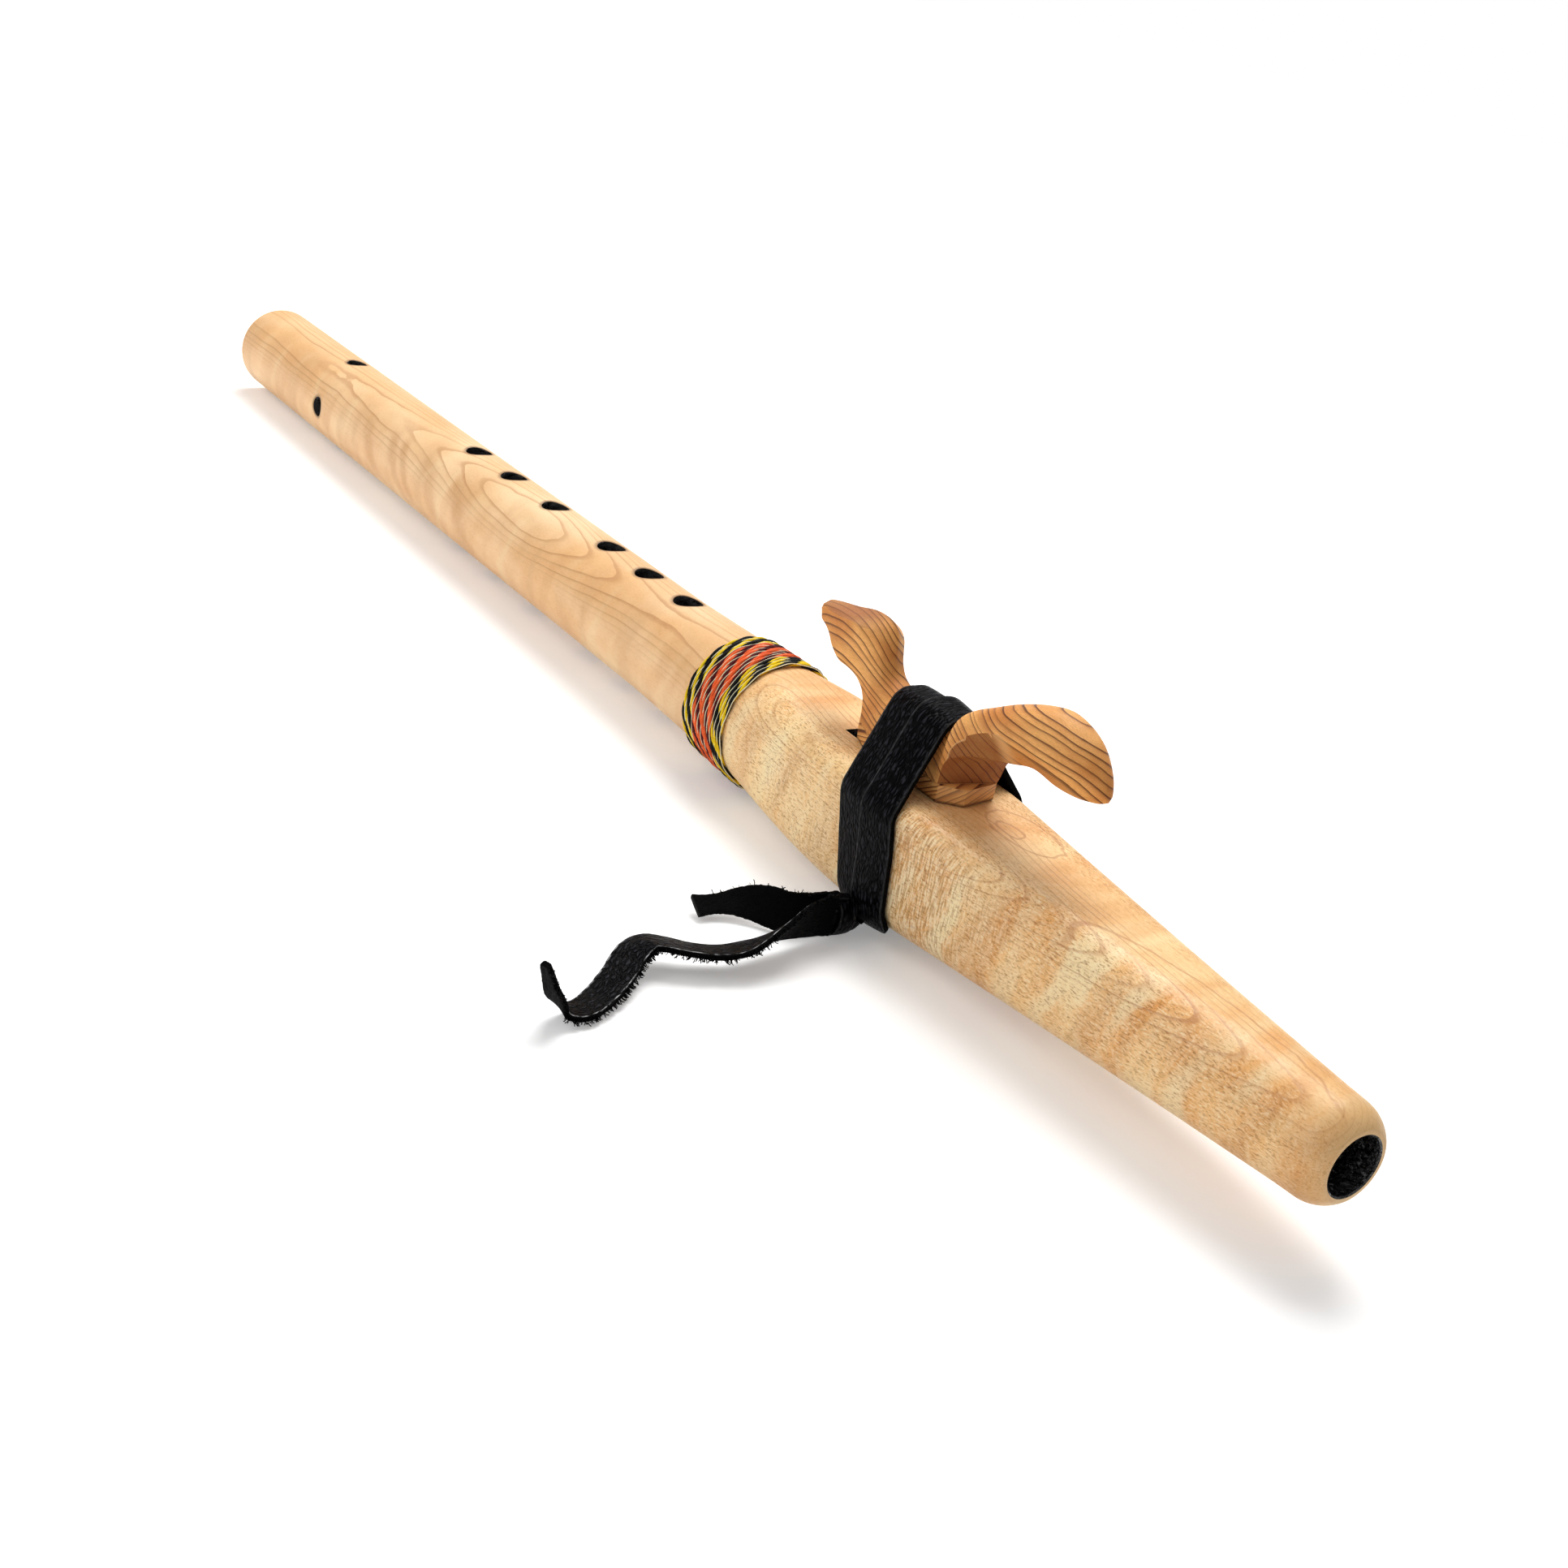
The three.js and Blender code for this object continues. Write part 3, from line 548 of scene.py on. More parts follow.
# Knot: the lace's two ends come round the belly on edge, and a turn of lace holds them.
# The rows of an end are its place, its lean and its width.
knotSizes = dict(centre=(439.2, -23.9, -15.6), reach=(3.0, 4.4, 4.4), roundness=0.6, sides=28,
                 slices=(-0.98, -0.85, -0.6, -0.3, 0, 0.3, 0.6, 0.85, 0.98), rowsPerPoint=5, endWear=0.08,
                 loop=(3.6, 4.7), loopLean=0.15, loopSway=0.5, loopTurn=0.6, loopSteps=48, band=4.8,
                 bandThickness=0.8, bandCrown=0.18, bandWear=0.05)
knotEnds = [
    ((440.9, -27.4, -14.8, 0.00, 10.1), (440.8, -25.0, -14.9, 0.00, 10.1), (440.4, -22.5, -15.2, 0.15, 9.8),
     (439.4, -20.2, -15.7, 0.40, 9.0), (438.0, -18.0, -16.6, 0.90, 7.0)),
    ((437.9, -27.3, -15.3, 0.00, 9.9), (437.6, -24.9, -15.4, 0.00, 9.8), (437.0, -22.6, -15.5, 0.15, 9.4),
     (436.2, -20.4, -15.9, 0.40, 8.6), (435.2, -18.2, -16.7, 0.90, 7.0)),
]


def addKnot(sizes, ends):
    centre = Vector(sizes['centre'])
    wide, deep, high = sizes['reach']
    rings = []
    for share in sizes['slices']:
        swell = sqrt(1 - share * share) ** sizes['roundness']
        angles = [2 * pi * k / sizes['sides'] for k in range(sizes['sides'])]
        rings.append([centre + Vector((wide * swell * cos(angle), share * deep, high * swell * sin(angle)))
                      for angle in angles])
    pieces = [addLoft('lace_knot_core', rings, wrapLeather)]
    for number, end in enumerate(ends):
        rows = []
        for x, y, z, lean, width in smoothRows(end, sizes['rowsPerPoint']):
            across = Vector((0, -sin(lean), cos(lean)))
            rows.append((Vector((x, y, z)), across, Vector((1, 0, 0)), width))
        pieces.append(addStrip('lace_knot_end', rows, laceSizes['thickness'], laceSizes['crown'], wrapLeather,
                               sizes['endWear'], seed=21 + number))
    rows = []
    loopWide, loopHigh = sizes['loop']
    for k in range(sizes['loopSteps'] + 1):
        angle = 2 * pi * k / sizes['loopSteps']
        out = Vector((cos(angle), sizes['loopLean'] * sin(angle), sin(angle))).normalized()
        sway = sizes['loopSway'] * sin(angle + sizes['loopTurn'])
        spot = Vector((cos(angle) * loopWide, sway, sin(angle) * loopHigh))
        rows.append((centre + spot, Vector((0, 1, 0)), out, sizes['band']))
    pieces.append(addStrip('lace_knot_band', rows, sizes['bandThickness'], sizes['bandCrown'], wrapLeather,
                           sizes['bandWear'], seed=11))
    return joinPieces('lace_knot_tied', pieces)


def joinPieces(name, pieces):
    bpy.ops.object.select_all(action='DESELECT')
    for piece in pieces:
        piece.select_set(True)
    bpy.context.view_layer.objects.active = pieces[0]
    bpy.ops.object.join()
    joined = pieces[0]
    joined.name = name
    return joined


knot = addKnot(knotSizes, knotEnds)
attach(knot, 'bird_and_tie')
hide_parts('lace_knot')
routeLength(longTail)
# the short end is declared as wide as so short a cord may be, a little under its tip
routeLength(shortTail)
print('lace ends and knot made')


# Body of the flute, in two staves that meet on the axis of the bore. Each step of a
# bore's rim is how far in from the end it lies and how much wider it is.
bodySizes = dict(
    footToFlare=315.5, flareLength=109, boxLength=20, swellLength=55, nestRampLength=33,
    barrelRadius=15.5, swellRadius=17.1, boxHalfWidth=19.3, nestHeight=15, mouthRadius=11.4,
    topCorner=0.33, bellyCorner=0.49, footRound=3, mouthRoundLength=6.5, mouthRoundDepth=3.4,
    mouthRoundPower=1.6, boreRadius=11.1, mouthBoreRadius=6.7, soundBoreEnd=410.5, airChamberStart=426.5,
    chamberEnd=500.5, neckEnd=535.5, splittingEdge=404.5, soundHoleEnd=409.3, airExitStart=428.3,
    airExitEnd=433.8, soundHoleHalfWidth=5.3, flueDepth=1.2, cutFrom=2, cutPast=5,
    fingerHoles=(182, 208, 237, 273.4, 296.2, 318.4), fingerHoleRadius=4.2,
    topDirectionHoles=77.2, sideDirectionHoles=81.6, directionHoleRadius=3.45,
    footRim=((-4, 4.6), (0.6, 0)), mouthRim=((0.7, 0), (0.25, 0.12), (0, 0.5), (-2, 3)),
    soften=5, steps=96, spacing=5, footSteps=10, mouthSteps=14, crease=32,
)
flareEnd = bodySizes['footToFlare'] + bodySizes['flareLength']
taperStart = flareEnd + bodySizes['boxLength']
swellEnd = bodySizes['footToFlare'] + bodySizes['swellLength']


def sectionAt(x):
    sizes = bodySizes
    swell = clamp01((x - sizes['footToFlare']) / sizes['swellLength'])
    flare = clamp01((x - swellEnd) / (flareEnd - swellEnd))
    nest = ease((x - swellEnd) / sizes['nestRampLength'])
    square = sin(flare * pi / 2)
    taper = clamp01((x - taperStart) / (bodyLength - sizes['mouthRoundLength'] - taperStart))
    radius = mix(sizes['barrelRadius'], sizes['swellRadius'], swell)
    halfWidth = mix(mix(radius, sizes['boxHalfWidth'], flare), sizes['mouthRadius'], taper)
    top = mix(mix(radius, sizes['nestHeight'], nest), sizes['mouthRadius'], taper)
    belly = mix(radius, sizes['mouthRadius'], taper)
    topShare = mix(mix(1, sizes['topCorner'], square), 1, taper)
    bellyShare = mix(mix(1, sizes['bellyCorner'], square), 1, taper)
    return halfWidth, top, belly, topShare * min(halfWidth, top), bellyShare * min(halfWidth, belly)


# Kinks along the length are sanded over on the real body, so sections are averaged
def softSectionAt(x):
    reach = bodySizes['soften']
    near = [sectionAt(x + reach * share) for share in (-1, -0.6, -0.2, 0.2, 0.6, 1)]
    return [sum(values) / len(near) for values in zip(*near)]


# Distance from the axis to a rounded rectangle at an angle round it
def reachAt(halfWidth, height, corner, angle):
    along, up = abs(cos(angle)), abs(sin(angle))
    if up * halfWidth <= along * (height - corner):
        return halfWidth / along
    if along * height <= up * (halfWidth - corner):
        return height / up
    middleY, middleZ = halfWidth - corner, height - corner
    half = along * middleY + up * middleZ
    return half + sqrt(max(0, half * half - middleY ** 2 - middleZ ** 2 + corner ** 2))


def bodyRing(x, inset, upper):
    halfWidth, top, belly, topCorner, bellyCorner = softSectionAt(x)
    height = (top if upper else belly) - inset
    corner = (topCorner if upper else bellyCorner) - inset
    ring = []
    for k in range(bodySizes['steps'] + 1):
        angle = pi * (k / bodySizes['steps'] + (0 if upper else 1))
        reach = reachAt(halfWidth - inset, height, corner, angle)
        ring.append((x, reach * cos(angle), reach * sin(angle)))
    return ring


def bodyRings(upper):
    sizes = bodySizes
    rings = []
    for k in range(sizes['footSteps'], -1, -1):
        angle = k / sizes['footSteps'] * pi / 2
        inset = sizes['footRound'] * (1 - cos(angle))
        rings.append(bodyRing(sizes['footRound'] * (1 - sin(angle)), inset, upper))
    end = bodyLength - sizes['mouthRoundLength']
    count = round((end - sizes['footRound']) / sizes['spacing'])
    for k in range(1, count + 1):
        rings.append(bodyRing(mix(sizes['footRound'], end, k / count), 0, upper))
    for k in range(1, sizes['mouthSteps'] + 1):
        angle = k / sizes['mouthSteps'] * pi / 2
        inset = sizes['mouthRoundDepth'] * (1 - max(0, cos(angle)) ** sizes['mouthRoundPower'])
        rings.append(bodyRing(end + sizes['mouthRoundLength'] * sin(angle), inset, upper))
    return rings


# Cutters leave dark sealed faces, apart from the first rows of a hole's mouth
def addCutter(rings, bareRows=0):
    cutter = addLoft('cutter', rings, maple, sealedBore)
    for face in cutter.data.polygons:
        face.material_index = 1 if min(face.vertices) // len(rings[0]) >= bareRows else 0
    return cutter


def axialCutter(stations, sides=96):
    angles = [2 * pi * k / sides for k in range(sides)]
    return addCutter([[(x, radius * cos(angle), radius * sin(angle)) for angle in angles]
                      for x, radius in stations])


# A hole's mouth is eased over: each row grows the radius and stands off the wood
holeShape = dict(sides=48, floor=2.0, bareRows=3,
                 mouth=((0.9, 0.9), (0.42, 0.02), (0.2, -0.05), (0.07, -0.18), (0.0, -0.45), (0.0, None)))


def holeCutter(radius, x, turn):
    sides = holeShape['sides']
    top = softSectionAt(x)[1]
    rings = []
    for grow, rise in holeShape['mouth']:
        ring = []
        for k in range(sides):
            angle = 2 * pi * k / sides
            along, aside = (radius + grow) * cos(angle), (radius + grow) * sin(angle)
            height = holeShape['floor'] if rise is None else sqrt(top * top - aside * aside) + rise
            ring.append((x + along, aside * cos(turn) + height * sin(turn),
                         height * cos(turn) - aside * sin(turn)))
        rings.append(ring)
    return addCutter(rings, holeShape['bareRows'])


# The sound hole, the flue and the hole that lets the breath up, as one cut
def windwayCutter():
    sizes = bodySizes
    nest, bottom = sizes['nestHeight'], sizes['cutFrom']
    flue, above = nest - sizes['flueDepth'], nest + sizes['cutPast']
    edge, holeEnd = sizes['splittingEdge'], sizes['soundHoleEnd']
    exitStart, exitEnd = sizes['airExitStart'], sizes['airExitEnd']
    outline = [(edge, bottom), (edge, above), (exitEnd, above), (exitEnd, bottom),
               (exitStart, bottom), (exitStart, flue), (holeEnd, flue), (holeEnd, bottom)]
    side = sizes['soundHoleHalfWidth']
    return addCutter([[(x, y, z) for x, z in outline] for y in (-side, side)])


def boreCutters():
    sizes = bodySizes
    bore, mouth = sizes['boreRadius'], sizes['mouthBoreRadius']
    footRim = [(inward, bore + wider) for inward, wider in sizes['footRim']]
    mouthRim = [(bodyLength - inward, mouth + wider) for inward, wider in sizes['mouthRim']]
    chamber = [(sizes['airChamberStart'], bore), (sizes['chamberEnd'], bore), (sizes['neckEnd'], mouth)]
    yield axialCutter(footRim + [(sizes['soundBoreEnd'], bore)])
    yield axialCutter(chamber + mouthRim)


def addStave(name, node, upper):
    stave = addLoft(name, bodyRings(upper), maple, sealedBore)
    for cutter in boreCutters():
        combine(stave, cutter, 'DIFFERENCE')
    sizes = bodySizes
    small = sizes['directionHoleRadius']
    if upper:
        holes = [(sizes['fingerHoleRadius'], x, 0) for x in sizes['fingerHoles']]
        holes.append((small, sizes['topDirectionHoles'], 0))
        combine(stave, windwayCutter(), 'DIFFERENCE')
    else:
        holes = [(small, sizes['topDirectionHoles'], pi)]
    holes += [(small, sizes['sideDirectionHoles'], turn) for turn in (-pi / 2, pi / 2)]
    for radius, x, turn in holes:
        combine(stave, holeCutter(radius, x, turn), 'DIFFERENCE')
    smoothShade(stave, sizes['crease'])
    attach(stave, 'flute_body')
    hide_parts(node)
    print(name, 'made with', len(stave.data.polygons), 'faces')


# Maple: growth rings as thin brown lines, curl across the grain, flecks and blotches.
# Humps in the rings, as station, spread and rise, leave nested ovals on the planed side.
# The last stretches are told from x = 0: where each sets in and is full, and where it fades.
mapleLook = dict(
    tilt=0.61, period=1.13, phase=0.30, humps=((232, 60, 6.4), (462, 16, 1.9), (392, 26, 1.5)),
    curls=((130, 5.0), (151.5, 4.2), (160, 3.4), (180.5, 6.0), (203, 5.0)), curlLean=0.7,
    ovals=((463, 5, 11.5, 6.5), (461.5, 2.5, 4.0, 2.2), (540, -11, 40, 12.0)), shadeBelowTail=(470, 11, 1.0),
    pores=0.00005, figured=(55.0, 110.0), besideLace=(150.0, 158.0, 180.0, 192.0), mouthEnd=(273.0, 284.0),
)
mapleColors = dict(
    paleDark=(0.86, 0.51, 0.238), paleLight=(0.98, 0.70, 0.420), goldDark=(0.88, 0.41, 0.115),
    goldLight=(1.0, 0.60, 0.235), lateWood=(0.62, 0.36, 0.16), curlMark=(0.66, 0.34, 0.14),
    wave=(0.68, 0.39, 0.18), shadeBelowTail=(0.84, 0.37, 0.120), curlDark=(0.62, 0.270, 0.080),
    curlLight=(1.0, 0.82, 0.48), shade=(0.62, 0.255, 0.060), gleam=(1.0, 0.78, 0.41),
    quilt=(0.97, 0.76, 0.46), fleckDark=(0.33, 0.115, 0.026), fleckLight=(1.0, 0.86, 0.56),
    streakLight=(1.0, 0.88, 0.60), streakDark=(0.34, 0.14, 0.035), ringLine=(0.44, 0.145, 0.042),
    mouthEnd=(0.64, 0.34, 0.135), singe=(0.20, 0.10, 0.045),
)


def humpAt(along, station, spread, rise):
    share = (along - station) / spread
    return rise / (share * share + 1)


# Line of one ring that the planed face cuts as an oval: its middle and half sizes
def ovalLine(tree, along, y, oval):
    station, aside, longReach, sideReach = oval
    away = tree.distance((along - station) / longReach, (y - aside) / sideReach)
    return tree.smooth(tree.maths('ABSOLUTE', away - 1) * sideReach, 0.45, 0.10)


def makeMaple(look, colors):
    material, tree, shader = newMaterial('oiled_maple', **{
        'Coat Roughness': 0.22, 'IOR': 1.48, 'Specular IOR Level': 0.22})
    x, y, z = tree.axes(tree.millimetres())
    along = x + bodyLength / 2
    height = z - axisHeight
    nearSide = tree.smooth(y, 2.0, -13.0)
    sides = tree.smooth(tree.maths('ABSOLUTE', y), 3.0, 13.0)
    # the head end is worked from more figured wood than the barrel
    figured = tree.smooth(x, *look['figured'])
    # growth rings, bent by slow and quick drifts and by the humps
    flat = height * cos(look['tilt']) - y * sin(look['tilt'])
    drift = tree.grain(stretch=(0.020, 0.06, 0.06), warp=0.3) - 0.5
    small = tree.grain(stretch=(0.11, 0.20, 0.20)) - 0.5
    depth = flat + drift * (1.8 - figured * 0.6) + small * 0.3
    depth = sum((humpAt(along, *hump) for hump in look['humps']), depth)
    rings = depth / look['period'] + look['phase']
    ring = tree.maths('FRACT', rings)
    number = tree.vector(tree.maths('FLOOR', rings) * 3.7, x * 0.012)
    strong = tree.smooth(tree.noise(number), 0.34, 0.62)
    planed = tree.smooth(flat, 4.0, 13.0) * tree.smooth(height, -1.0, 7.0)
    faint = 0.25 - figured * 0.19
    line = tree.window(ring, 0.72, 0.95, 0.975, 1.0) * (strong * (1 - faint) + faint) * (planed * 0.95 + 0.05)
    ovals = sum(ovalLine(tree, along + small * 6, y + small * 3, oval) for oval in look['ovals'])
    line = tree.maths('MINIMUM', ovals * tree.smooth(height, 8.0, 11.5) * 0.8 + line, 1.0)
    # curl: bands across the grain, uneven and broken
    curl = tree.noise(tree.vector((along - height * 0.30 + y * 0.15 + drift * 10) * 0.125,
                                  height * 0.022, y * 0.022), detail=1)
    curlDark = tree.smooth(curl, 0.50, 0.68)
    curlLight = tree.smooth(curl, 0.50, 0.31)
    curly = tree.smooth(height, 14.6, 9.0) * 0.75 + 0.25
    leaning = along + height * look['curlLean']
    bands = sum(tree.smooth(humpAt(leaning, *mark, 1.0), 0.22, 1.0) for mark in look['curls'])
    bands = bands * tree.window(height, -11.0, -5.0, 7.5, 11.5) * tree.smooth(y, 2.0, -6.0)
    # blotches, shallow waves, short flecks of the pores and the shimmer of the cut fibres
    blotch = tree.smooth(tree.grain(stretch=(0.016, 0.045, 0.045), detail=3, rough=0.55), 0.32, 0.68)
    waves = tree.grain(stretch=(0.060, 0.018, 0.018), turn=(0, 0.25, 0.3), rough=0.45, warp=0.7)
    waves = tree.smooth(waves, 0.34, 0.66)
    flecks = tree.grain(stretch=(0.75, 2.7, 2.7), rough=0.75, warp=0.6)
    dark = tree.smooth(flecks, 0.52, 0.66)
    light = tree.smooth(flecks, 0.48, 0.34)
    grainy = figured * 0.12 + sides * figured * 0.44 + 0.09
    quilt = tree.grain(stretch=(0.16, 0.10, 0.06), turn=(0, 0, 0.3), detail=3, rough=0.7, warp=1.6)
    quilt = tree.smooth(quilt, 0.40, 0.62)
    streaks = tree.grain(stretch=(2.0, 0.34, 0.30), turn=(0, 0.12, 0), rough=0.6)
    patches = tree.smooth(tree.grain(stretch=(0.055, 0.06, 0.06), detail=1), 0.46, 0.60)
    besideLace = tree.window(x, *look['besideLace'])
    shimmer = tree.maths('MAXIMUM', patches * 0.55, besideLace) * figured * tree.smooth(y, -14.5, -17.5)
    # painted shade: the top under the bird's tail, which the tail shades, is painted a darker orange
    shadeBelowTail = humpAt(along, *look['shadeBelowTail']) * tree.smooth(y, 5.0, -4.0) * figured
    pale = tree.blend(blotch, colors['paleDark'], colors['paleLight'])
    golden = tree.blend(blotch, colors['goldDark'], colors['goldLight'])
    base = tree.layers(tree.blend(figured * 0.85 + nearSide * 0.10, pale, golden), [
        (tree.smooth(ring, 0.35, 0.95) * planed * (0.20 - figured * 0.10), colors['lateWood']),
        (bands * 0.55, colors['curlMark']),
        (waves * nearSide * (1 - figured) * 0.40, colors['wave']),
        (shadeBelowTail * 0.55, colors['shadeBelowTail']),
        (curlDark * curly * (figured * 0.42 + sides * 0.14), colors['curlDark']),
        (curlLight * curly * (figured * 0.62 + sides * 0.22), colors['curlLight']),
        (waves * figured * 0.26, colors['shade']),
        ((1 - waves) * figured * 0.46, colors['gleam']),
        (quilt * nearSide * figured * 0.30, colors['quilt']),
        (dark * grainy, colors['fleckDark']),
        (light * grainy * 0.8, colors['fleckLight']),
        (tree.smooth(streaks, 0.50, 0.60) * shimmer * 0.50, colors['streakLight']),
        (tree.smooth(streaks, 0.50, 0.40) * shimmer * 0.42, colors['streakDark']),
        (line * (figured * 0.13 + 0.42), colors['ringLine']),
        (tree.smooth(x, *look['mouthEnd']) * 0.42, colors['mouthEnd']),
        (singeAt(tree, along, y, height) * 0.7, colors['singe']),
    ])
    tree.feed(shader.inputs, {
        'Base Color': base,
        'Roughness': dark * 0.12 + blotch * 0.10 + 0.42,
        'Coat Weight': figured * 0.10 + 0.03,
        'Normal': tree.bump(dark * -1.0 + quilt * 0.3 - line * 0.8, look['pores'], 0.5),
    })
    return material


# Brown edge that burning the holes leaves round each of them
def singeAt(tree, along, y, height):
    sizes = bodySizes
    holes = [(x, y, sizes['fingerHoleRadius']) for x in sizes['fingerHoles']]
    holes += [(sizes['topDirectionHoles'], y, sizes['directionHoleRadius']),
              (sizes['sideDirectionHoles'], height, sizes['directionHoleRadius'])]
    return sum(tree.smooth(tree.distance(along - station, aside), radius + 1.5, radius + 0.1)
               for station, aside, radius in holes)


# Inside of the bores and holes: soot-black sealer with a gloss and a few drips, and pale specks near the
# mouth that are painted glints
sealerLook = dict(dark=(0.004, 0.004, 0.004), light=(0.012, 0.010, 0.009), glintSpeck=(0.42, 0.42, 0.43),
                  drip=0.0030, glintSpan=(262.0, 276.0))


def makeSealedBore(look):
    material, tree, shader = newMaterial('sealed_bore', **{'Coat Roughness': 0.06})
    drips = tree.grain(stretch=(0.25, 0.5, 0.5), detail=4, rough=0.65, warp=0.4)
    specks = tree.smooth(tree.noise(tree.millimetres(), 0.85, detail=3, rough=0.7), 0.60, 0.68)
    atMouth = tree.smooth(tree.axes(tree.millimetres())[0], *look['glintSpan'])
    sealer = tree.blend(drips, look['dark'], look['light'])
    tree.feed(shader.inputs, {
        # painted glints: pale specks on the sealer near the mouth
        'Base Color': tree.blend(specks * atMouth * 0.5, sealer, look['glintSpeck']),
        'Roughness': drips * 0.4 + 0.04,
        'Coat Weight': tree.smooth(drips, 0.45, 0.6) * 0.6,
        'Normal': tree.bump(drips, look['drip']),
    })
    return material


maple = makeMaple(mapleLook, mapleColors)
sealedBore = makeSealedBore(sealerLook)
addStave('body_upper', 'body_upper_stave', True)
addStave('body_lower', 'body_lower_stave', False)


# Bird: ribs from beak to tail tip, each with its lower and its upper end as
# shares of length and height, half width, level of the widest point, how straight the
# crown falls, how wide the keel is, how far the far side trails, the flat near face,
# and how sharply the head is cut into flats.
birdSizes = dict(length=109.4, height=34.2, halfWidth=8, overhang=28.8, start=409.3, seat=15.2,
                 blockLength=36, frontHalfWidth=5.2, flareLength=7, prow=4.0, prowAside=-2.5, farEnd=1.8,
                 bandHeight=4.1, ridgeStep=9, ridgeAcross=0.80, ridgeLevel=0.80, keelSteps=4, crownSteps=16,
                 rowsPerRib=5, bevel=0.00022, bevelFrom=40, crease=34)
birdRibs = [
    (0.002, 0.602, 0.003, 0.708, 0.212, 0.50, 0.80, 0.75, 0.00, 0.80, 0.90),
    (0.012, 0.585, 0.015, 0.737, 0.325, 0.60, 0.90, 0.70, 0.00, 0.80, 0.90),
    (0.039, 0.567, 0.059, 0.772, 0.438, 0.66, 1.00, 0.70, 0.00, 0.80, 0.95),
    (0.069, 0.538, 0.119, 0.810, 0.575, 0.68, 1.00, 0.75, 0.00, 0.80, 1.00),
    (0.091, 0.491, 0.174, 0.854, 0.675, 0.72, 1.00, 0.75, 0.00, 0.82, 1.00),
    (0.112, 0.444, 0.216, 0.865, 0.713, 0.76, 1.00, 0.72, 0.00, 0.84, 1.00),
    (0.133, 0.415, 0.250, 0.848, 0.688, 0.66, 1.00, 0.74, 0.00, 0.86, 0.90),
    (0.161, 0.398, 0.272, 0.789, 0.613, 0.60, 0.95, 0.70, 0.00, 0.90, 0.75),
    (0.191, 0.374, 0.278, 0.696, 0.562, 0.55, 0.90, 0.72, 0.00, 0.94, 0.60),
    (0.219, 0.327, 0.282, 0.608, 0.562, 0.50, 0.85, 0.76, 0.00, 0.98, 0.50),
    (0.240, 0.263, 0.294, 0.526, 0.613, 0.45, 0.80, 0.80, 0.00, 1.00, 0.40),
    (0.254, 0.170, 0.316, 0.477, 0.688, 0.40, 0.76, 0.84, 0.00, 1.00, 0.20),
    (0.261, 0.064, 0.347, 0.453, 0.775, 0.34, 0.74, 0.84, 0.00, 1.00, 0.10),
    (0.269, 0.006, 0.375, 0.450, 0.900, 0.40, 0.72, 0.76, 0.00, 1.00, 0.00),
    (0.338, 0.006, 0.402, 0.450, 0.988, 0.20, 0.72, 0.98, 0.00, 1.00, 0.00),
    (0.457, 0.006, 0.475, 0.453, 0.988, 0.16, 0.72, 1.00, 0.00, 1.00, 0.00),
    (0.572, 0.006, 0.570, 0.456, 0.988, 0.16, 0.72, 1.00, 0.00, 1.00, 0.00),
    (0.585, 0.117, 0.571, 0.532, 0.988, 0.10, 0.68, 1.00, 0.16, 1.00, 0.00),
    (0.592, 0.287, 0.575, 0.620, 0.975, 0.10, 0.66, 1.00, 0.24, 1.00, 0.00),
    (0.612, 0.363, 0.600, 0.702, 0.988, 0.30, 0.70, 0.80, 0.34, 1.00, 0.00),
    (0.640, 0.404, 0.645, 0.778, 1.000, 0.40, 0.76, 0.62, 0.26, 1.00, 0.00),
    (0.679, 0.439, 0.699, 0.860, 1.012, 0.48, 0.84, 0.44, 0.12, 1.00, 0.00),
    (0.731, 0.474, 0.762, 0.930, 1.025, 0.50, 0.90, 0.30, 0.03, 1.00, 0.00),
    (0.795, 0.530, 0.824, 0.977, 1.000, 0.40, 0.94, 0.24, 0.00, 1.00, 0.00),
    (0.864, 0.511, 0.881, 0.959, 0.887, 0.41, 0.96, 0.24, 0.00, 1.00, 0.00),
    (0.923, 0.520, 0.930, 0.895, 0.700, 0.42, 0.96, 0.26, 0.00, 1.00, 0.00),
    (0.969, 0.550, 0.970, 0.789, 0.425, 0.44, 0.95, 0.30, 0.00, 1.00, 0.00),
    (0.993, 0.578, 0.993, 0.684, 0.200, 0.50, 0.90, 0.40, 0.00, 1.00, 0.00),
    (1.000, 0.602, 1.000, 0.632, 0.075, 0.50, 0.90, 0.50, 0.00, 1.00, 0.00),
]
crispRibs = (0, 13, 16, 28)


# The head's side is cut in two flats that meet on a ridge
def facetPoint(k, edge, sizes):
    ridge, across, level = sizes['ridgeStep'], sizes['ridgeAcross'], sizes['ridgeLevel']
    if k <= ridge:
        return mix(1, across, k / ridge), mix(edge, level, k / ridge)
    share = (k - ridge) / (sizes['crownSteps'] - ridge)
    return mix(across, 0, share), mix(level, 1, share)


def birdRing(rib, sizes):
    lowX, lowZ, highX, highZ, width, edge, crown, keel, skew, face, facet = rib
    start, steps, keelSteps = sizes['start'] - sizes['overhang'], sizes['crownSteps'], sizes['keelSteps']
    low = Vector((start + lowX * sizes['length'], 0, sizes['seat'] + lowZ * sizes['height']))
    high = Vector((start + highX * sizes['length'], 0, sizes['seat'] + highZ * sizes['height']))
    outline = [(mix(keel, 1, k / keelSteps), edge * k / keelSteps) for k in range(keelSteps)]
    for k in range(steps + 1):
        angle = k / steps * pi / 2
        across = min(1, (max(0, cos(angle)) ** crown if k < steps else 0) / face)
        level = mix(edge, 1, sin(angle) ** crown)
        cutAcross, cutLevel = facetPoint(k, edge, sizes)
        outline.append((mix(across, cutAcross, facet), mix(level, cutLevel, facet)))
    outline += [(-across, level) for across, level in reversed(outline[:-1])]
    ring = []
    for across, level in outline:
        point = low.lerp(high, level)
        half = width * sizes['halfWidth']
        point.y = -across * half
        point.x += skew * (point.y + half)
        ring.append(tuple(point))
    return ring


